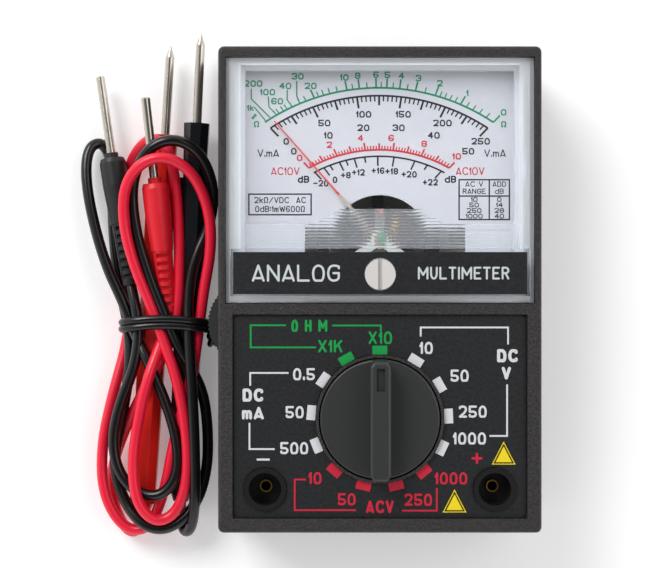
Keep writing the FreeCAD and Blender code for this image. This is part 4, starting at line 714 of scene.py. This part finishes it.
class METER_OT_dial_print(Operator):
    """Scales, numerals and small tables printed on the dial"""

    bl_idname = "meter.dial_print"
    bl_label = "Dial print"

    def execute(self, context):
        inks = context.scene.meter_inks
        level = DIAL_TOP + INK_RISE
        black, green, red = Print(level), Print(level), Print(level)
        self.black_scales(black)
        self.ohms_scale(green)
        self.ac_scale(red)
        self.tables(black)
        # screen-printed ink: flat colour, barely any gloss
        for name, layer, code in (("dial_print_black", black, inks.dial_black),
                                  ("dial_print_green", green, inks.dial_green),
                                  ("dial_print_red", red, inks.dial_red)):
            piece = layer.mesh_object(name, plastic(name + "_ink", code, 0.55), "case",
                                      film=INK_FILM)
        return {"FINISHED"}

    def black_scales(self, layer):
        outer, inner = VOLTS_RADIUS, DECIBEL_RADIUS
        layer.arc(ARC_CENTRE, outer, 0.4, -arc_end(outer), arc_end(outer))
        for k in range(51):
            length = 2.4 if k % 10 == 0 else 2.0 if k % 5 == 0 else 1.2
            width = 0.42 if k % 5 == 0 else 0.3
            tick(layer, k / 50, outer, -length, width)
        for radius, shift, step in ((UPPER_NUMERALS, (0.9, -0.3), 50),
                                    (LOWER_NUMERALS, (0.4, -0.2), 10)):
            for k in range(6):
                spot = scale_point(k / 5, radius) + np.array(shift)
                layer.words("%d" % (step * k), spot, 1.4, 1.25)
        for x in (-23.15, 24.2):
            layer.words("V.mA", (x, 28.45), 1.6, 1.15, weight=0.13)
        layer.arc(ARC_CENTRE, inner, 0.36, -arc_end(inner), arc_end(inner))
        named = {-20: "-20", 0: "0", 8: "+8", 12: "+12", 16: "+16", 18: "+18", 20: "+20",
                 22: "+22"}
        for decibels in (-20, 0, 4, 8, 10, 12, 14, 16, 18, 20, 21, 22):
            length = 2.0 if decibels in named else 1.2
            share = decibel_share(decibels)
            tick(layer, share, inner, -length, 0.34)
            if decibels in named:
                spot = scale_point(share, DECIBEL_NUMERALS)
                spread = {22: -0.3, -20: -0.8, 0: 0.5}.get(decibels, 0.0)
                layer.words(named[decibels], spot + np.array([spread, -0.1]), 1.35, 1.05)
        for x in (-15.8, 14.9):
            layer.words("dB", (x, 23.0), 1.5, 1.1)

    def ohms_scale(self, layer):
        radius = OHMS_RADIUS
        layer.arc(ARC_CENTRE, radius, 0.4, -arc_end(radius), arc_end(radius))
        long_marks = (0, 1, 2, 3, 4, 5, 6, 8, 10, 20)
        short_marks = [k / 5 for k in range(1, 10) if k != 5]
        short_marks += [2.5, 3.5, 4.5, 5.5, 7, 9, 12, 14, 16, 18, 25, 30, 40, 50, 60, 80, 100]
        for ohms in long_marks:
            tick(layer, ohms_share(ohms), radius, 2.0, 0.36)
        for ohms in short_marks:
            tick(layer, ohms_share(ohms), radius, 1.2, 0.26)
        for ohms in long_marks[1:9]:
            spot = scale_point(ohms_share(ohms), radius + 2.75)
            layer.words("%d" % ohms, spot, *NUMERAL)
        layer.words("20", (-14.3, 42.5), *NUMERAL)
        layer.words("0", (26.0, 37.0), *NUMERAL)
        # numerals of the crowded end stand away and lines lead to their marks
        leaders = (("200", (-26.3, 43.0), (-26.7, 41.8), (-26.7, 39.8), 200),
                   ("100", (-23.3, 41.2), (-23.15, 40.2), (-23.0, 38.1), 100),
                   ("60", (-21.3, 39.3), None, None, 60),
                   ("40", (-19.6, 42.5), (-19.2, 41.6), (-19.2, 39.6), 40),
                   ("30", (-17.0, 44.5), (-17.2, 43.4), (-17.2, 40.4), 30))
        for text, spot, start, bend, ohms in leaders:
            layer.words(text, spot, *NUMERAL)
            if start:
                mark = scale_point(ohms_share(ohms), radius + 0.3)
                layer.stroke([start, bend, tuple(mark)], 0.26)
        layer.stroke([(-26.0, 38.0), scale_point(ohms_share(1000), radius)], 0.26)
        layer.words("1k", (-26.9, 37.9), 1.25, 1.2)
        layer.words("∞", (-26.1, 36.1), 1.2, 1.6, turn=-48)
        for x in (-25.6, 26.0):
            layer.words("Ω", (x, 34.5), 1.3, 1.3)

    def ac_scale(self, layer):
        radius = AC_RADIUS
        layer.arc(ARC_CENTRE, radius, 0.4, -arc_end(radius), arc_end(radius))
        for k in range(51):
            length = 1.6 if k % 10 == 0 else 1.35 if k % 5 == 0 else 0.85
            tick(layer, k / 50, radius, length, 0.36 if k % 5 == 0 else 0.26)
        for k, spot in enumerate(((-16.6, 27.5), (-10.4, 30.2), (-3.9, 31.6), (2.5, 31.6),
                                  (9.4, 30.4), (16.2, 27.8))):
            layer.words("%d" % (2 * k), spot, *NUMERAL)
        for x in (-19.6, 19.0):
            layer.words("AC10V", (x, 24.7), 1.6, 1.1, weight=0.13)

    def tables(self, layer):
        """Sensitivity box at the left and the decibel table at the right."""
        line = 0.28
        layer.path([(-27.2, 19.9), (-14.2, 19.9), (-14.2, 15.6), (-27.2, 15.6), (-27.2, 19.9)], line)
        layer.words("2kΩ/VDC  AC", (-20.7, 18.65), 1.3, 1.05, weight=0.15)
        layer.words("0dB:1mW600Ω", (-20.7, 16.8), 1.3, 1.0, weight=0.15)
        left, split, right, top, base = 16.7, 23.0, 27.2, 22.9, 14.6
        layer.path([(left, top), (right, top), (right, base), (left, base), (left, top)], line)
        layer.path([(split, top), (split, base)], line)
        layer.path([(left, 19.5), (right, 19.5)], line)
        middle_left, middle_right = (left + split) / 2, (split + right) / 2
        for text, x, y, stretch in (("AC V", middle_left, 22.0, 1.25),
                                    ("RANGE", middle_left, 20.5, 1.15),
                                    ("ADD", middle_right, 22.0, 1.15),
                                    ("dB", middle_right, 20.5, 1.15)):
            layer.words(text, (x, y), 1.1, stretch, weight=0.15)
        for k, (volts, decibels) in enumerate((("10", "0"), ("50", "14"), ("250", "28"),
                                               ("1000", "40"))):
            height = 18.8 - 1.16 * k
            layer.words(volts, (middle_left, height), 1.0, 1.4, weight=0.18)
            layer.words(decibels, (middle_right, height), 1.0, 1.4, weight=0.18)


# ---------------------------------------------------------------- panel and band print
RANGE_ANGLES = {
    "green": (0.0, 330.9),
    "white": (31.7, 60.3, 87.6, 115.0, 247.3, 275.2, 304.6),
    "red": (140.1, 166.3, 193.7, 221.4),
}
# a range mark's inner and outer radius and its width, and the brackets' line, in millimetres
MARK_START, MARK_END, MARK_WIDTH = 13.25, 15.05, 3.05
PANEL_LINE = 0.36


class METER_OT_panel_print(Operator):
    """Range marks, brackets and numerals on the black panel film"""

    bl_idname = "meter.panel_print"
    bl_label = "Panel print"

    def execute(self, context):
        inks = context.scene.meter_inks
        level = LABEL_TOP + INK_RISE
        layers = {colour: Print(level) for colour in ("green", "white", "red", "yellow")}
        centre = np.array([KNOB_X, KNOB_Y]) / MM
        for colour, angles in RANGE_ANGLES.items():
            for angle in angles:
                ray = ray_at(angle)
                layers[colour].bar(centre + ray * MARK_START, centre + ray * MARK_END, MARK_WIDTH)
        self.green_print(layers["green"])
        self.white_print(layers["white"])
        self.red_print(layers["red"])
        dark = Print(level + 0.06 * MM)
        for x, y in ((25.45, -33.6), (15.35, -43.45)):
            self.triangle(layers["yellow"], dark, x, y)
        for colour, layer in layers.items():
            name = "panel_print_" + colour
            code = getattr(inks, "panel_" + colour)
            piece = layer.mesh_object(name, plastic(name + "_ink", code, 0.42), "case",
                                      film=INK_FILM)
        outline = dark.mesh_object("panel_print_outline",
                                   plastic("outline_ink", "#15130a", 0.45), "case", film=INK_FILM)
        return {"FINISHED"}

    def green_print(self, layer):
        layer.words("O H M", (-14.5, -7.45), 2.5, 0.84)
        layer.path([(-19.5, -7.35), (-26.55, -7.35), (-26.55, -11.9), (-13.3, -11.9)], PANEL_LINE)
        layer.path([(-9.6, -7.4), (0.2, -7.4), (0.2, -8.4)], PANEL_LINE)
        layer.words("X1K", (-10.2, -11.65), 2.6, 1.02, weight=0.17)
        layer.words("X10", (0.1, -9.9), 2.6, 0.98, weight=0.17)

    def white_print(self, layer):
        layer.path([(8.4, -9.5), (8.4, -7.8), (26.35, -7.8), (26.35, -11.1)], PANEL_LINE)
        layer.words("DC", (26.2, -13.6), 2.7, 1.08, weight=0.24)
        layer.words("V", (26.0, -17.2), 2.6, 1.1, weight=0.24)
        layer.path([(26.15, -19.7), (26.15, -30.1), (22.7, -30.1)], PANEL_LINE)
        for text, spot in (("10", (9.5, -12.0)), ("50", (16.4, -17.7)), ("250", (19.1, -25.1)),
                           ("1000", (18.4, -30.6)), ("0.5", (-15.6, -17.4)),
                           ("50", (-17.5, -25.2)), ("500", (-17.6, -32.6))):
            layer.words(text, spot, 2.5, 1.02, weight=0.18)
        layer.path([(-26.65, -19.6), (-26.65, -17.15), (-18.95, -17.15)], PANEL_LINE)
        layer.words("DC", (-26.1, -21.7), 2.7, 1.08, weight=0.24)
        layer.words("mA", (-26.1, -25.4), 2.6, 1.2, weight=0.22)
        layer.path([(-26.8, -27.6), (-26.8, -32.8), (-21.8, -32.8)], PANEL_LINE)
        layer.bar((-25.3, -34.95), (-22.65, -34.95), 0.42)

    def red_print(self, layer):
        layer.path([(-15.4, -39.05), (-17.5, -39.05), (-17.5, -45.35), (-5.1, -45.35)], PANEL_LINE)
        layer.path([(4.75, -45.45), (11.7, -45.45), (11.7, -41.0)], PANEL_LINE)
        layer.words("ACV", (0.0, -44.65), 2.6, 0.97)
        for text, spot in (("10", (-13.35, -38.75)), ("50", (-6.8, -43.1)), ("250", (7.9, -43.2)),
                           ("1000", (14.6, -38.8))):
            layer.words(text, spot, 2.5, 1.0, weight=0.18)
        layer.bar((18.85, -34.7), (21.05, -34.7), 0.5)
        layer.bar((19.95, -35.8), (19.95, -33.6), 0.5)

    def triangle(self, yellow, dark, x, y):
        """A plain yellow triangle with a thin dark border inside its edge."""
        half, height = 2.45, 4.75
        corners = np.array([(-half, -height / 2), (half, -height / 2), (0, height / 2)])
        place = np.array([x, y])
        yellow.polygon(corners + place)
        middle = np.array([0, -height / 2 + height / 3])
        inset = middle + (corners - middle) * 0.78
        ring = [tuple(corner + place) for corner in inset]
        dark.path(ring + ring[:1], 0.24)


class METER_OT_band_print(Operator):
    """Plain lettering on the name band"""

    bl_idname = "meter.band_print"
    bl_label = "Band print"

    def execute(self, context):
        layer = Print(BAND_TOP + INK_RISE)
        layer.words("ANALOG", (-17.2, 3.35), 3.5, 1.12, weight=0.13)
        layer.words("MULTIMETER", (17.0, 3.35), 2.6, 0.9, weight=0.15)
        # hot-stamped foil lettering in pale grey
        piece = layer.mesh_object("band_print", plastic("pale_grey_ink", "#c9d0d4", 0.4), "case",
                                  film=INK_FILM)
        return {"FINISHED"}


# ---------------------------------------------------------------- window ribs and lacquer
class METER_OT_window_ribs(Operator):
    """Moulded ribs across the foot of the window that hide the movement"""

    bl_idname = "meter.window_ribs"
    bl_label = "Window ribs"

    def execute(self, context):
        pitch, height = 0.62, 0.15
        edge, top = 27.5, PANE_TOP / MM
        first, shoulder, crown = 8.7, 13.2, 16.7
        shape = Shape()
        angle = np.linspace(0, math.pi, 9)
        for k in range(int((crown - first) / pitch) + 1):
            y = first + pitch * k
            if y > shoulder:
                # the stepped dome: half width falls from 13.2 mm to 7.6 mm
                half = 13.2 - 5.6 * (y - shoulder) / (crown - shoulder)
            else:
                half = edge
            # half-round bar: y = p/2 cos a, z = h sin a, closed at its ends and foot
            across = np.append(-pitch / 2 * np.cos(angle), [pitch / 2, -pitch / 2])
            above = np.append(height * np.sin(angle), [-0.02, -0.02])
            rows = [np.stack([np.full(len(across), x), y + across * reach, top + above * reach], axis=1)
                    for x, reach in ((half, 0.0), (half, 1.0), (-half, 1.0), (-half, 0.0))]
            shape.grid(np.array(rows), wrap=True)
        ribs = shape.mesh_object("window_ribs",
                                 clear_styrene("ribbed_polystyrene", 0.06, milk=0.1), "case")
        return {"FINISHED"}


def drop(shape, x, y, z, wide, long, tall):
    """A flattened drop: half ellipsoid x = a sin t cos p, y = b sin t sin p, z = c cos t."""
    polar = np.linspace(0, math.pi, 12)[:, None]
    turn = np.linspace(0, 2 * math.pi, 20, endpoint=False)[None, :]
    points = np.stack([x + wide * np.sin(polar) * np.cos(turn),
                       y + long * np.sin(polar) * np.sin(turn),
                       z + tall * np.cos(polar) * np.ones_like(turn)], axis=-1)
    shape.grid(points, wrap=True)


class METER_OT_lacquer(Operator):
    """Locking lacquer on the movement's bridge"""

    bl_idname = "meter.lacquer"
    bl_label = "Lacquer spots"

    def execute(self, context):
        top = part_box("upper_bridge")[1][2] / MM
        green, red = Shape(), Shape()
        drop(green, 0.35, 10.5, top + 0.2, 1.1, 1.4, 0.55)
        drop(red, 0.1, 16.0, top + 0.1, 0.6, 0.5, 0.4)
        for name, shape, code in (("green_lacquer", green, "#2f7d4c"), ("red_lacquer", red, "#c8323a")):
            spot = shape.mesh_object(name, plastic(name, code, 0.25), "case", smooth=True)
        return {"FINISHED"}


# ---------------------------------------------------------------- stage
def light_table():
    """Opal acrylic lit a little from below."""
    made, tree = new_material("opal_light_table")
    shader = add_node(tree, "ShaderNodeBsdfPrincipled",
                      inputs={"Base Color": linear("#f6f6f7"), "Roughness": 0.9,
                              "Emission Color": linear("#ffffff"), "Emission Strength": 0.22})
    close_material(tree, shader)
    return made


class METER_OT_stage(Operator):
    """Pale table, soft lamps and an even sky"""

    bl_idname = "meter.stage"
    bl_label = "Stage"

    def execute(self, context):
        sizes = context.scene.meter_stage
        half = 1.5
        mesh = bpy.data.meshes.new("table_top")
        mesh.from_pydata([(-half, -half, 0), (half, -half, 0), (half, half, 0), (-half, half, 0)], [],
                         [(0, 1, 2, 3)])
        mesh.materials.append(light_table())
        table = bpy.data.objects.new("table_top", mesh)
        table.location = (0, 0, -0.05 * MM)
        context.collection.objects.link(table)
        lamps = (("key_lamp", (-0.5, 0.6, 0.75), 0.5, sizes.key_power),
                 ("fill_lamp", (0.65, 0.15, 0.7), 0.7, sizes.fill_power),
                 ("low_lamp", (0.0, -0.75, 0.55), 0.6, 0.25 * sizes.fill_power))
        for name, place, width, power in lamps:
            lamp = bpy.data.lights.new(name, "AREA")
            lamp.size = width
            lamp.energy = power
            holder = bpy.data.objects.new(name, lamp)
            holder.location = place
            aim = np.array(place)
            flat = math.hypot(aim[0], aim[1])
            holder.rotation_euler = (math.atan2(flat, aim[2]), 0, math.atan2(aim[0], -aim[1]))
            context.collection.objects.link(holder)
        sky = bpy.data.worlds.new("sky")
        sky.use_nodes = True
        background = sky.node_tree.nodes["Background"]
        background.inputs["Color"].default_value = linear("#ffffff")
        # dimmer overhead, so that flat black pieces stay black under the camera
        place = add_node(sky.node_tree, "ShaderNodeTexCoord")
        axes = add_node(sky.node_tree, "ShaderNodeSeparateXYZ",
                        links={"Vector": place.outputs["Generated"]})
        fall = add_node(sky.node_tree, "ShaderNodeMapRange",
                        settings={"interpolation_type": "SMOOTHSTEP"},
                        inputs={"From Min": 0.45, "From Max": 0.97, "To Min": sizes.sky,
                                "To Max": 0.12 * sizes.sky},
                        links={"Value": axes.outputs["Z"]})
        sky.node_tree.links.new(fall.outputs["Result"], background.inputs["Strength"])
        context.scene.world = sky
        context.scene.view_settings.view_transform = "Standard"
        return {"FINISHED"}


# ---------------------------------------------------------------- panel and registration
MAKERS = (METER_OT_camera, METER_OT_tie, METER_OT_leads, METER_OT_finishes, METER_OT_dial_print,
          METER_OT_panel_print, METER_OT_band_print, METER_OT_window_ribs, METER_OT_lacquer,
          METER_OT_stage)


class METER_PT_sidebar(Panel):
    """Lists the meter's pieces in the order they are made"""

    bl_idname = "METER_PT_sidebar"
    bl_label = "Needle multimeter"
    bl_space_type = "VIEW_3D"
    bl_region_type = "UI"
    bl_category = "Multimeter"

    def draw(self, context):
        for group in PROPERTIES:
            owner = getattr(context.scene, group)
            for name in owner.__annotations__:
                self.layout.prop(owner, name)
        for maker in MAKERS:
            self.layout.operator(maker.bl_idname)


PROPERTIES = {"meter_case": CaseFinish, "meter_inks": InkColours, "meter_leads": LeadSizes,
              "meter_stage": StageSizes}


def register():
    for kind in (*PROPERTIES.values(), *MAKERS, METER_PT_sidebar):
        bpy.utils.register_class(kind)
    for name, kind in PROPERTIES.items():
        setattr(bpy.types.Scene, name, PointerProperty(type=kind))


def unregister():
    for name in PROPERTIES:
        delattr(bpy.types.Scene, name)
    for kind in reversed((*PROPERTIES.values(), *MAKERS, METER_PT_sidebar)):
        bpy.utils.unregister_class(kind)


def main():
    register()
    bpy.ops.meter.camera()
    bpy.ops.meter.tie()
    bpy.ops.meter.leads()
    bpy.ops.meter.finishes()
    bpy.ops.meter.dial_print()
    bpy.ops.meter.panel_print()
    bpy.ops.meter.band_print()
    bpy.ops.meter.window_ribs()
    bpy.ops.meter.lacquer()
    bpy.ops.meter.stage()


if __name__ == "__main__":
    main()
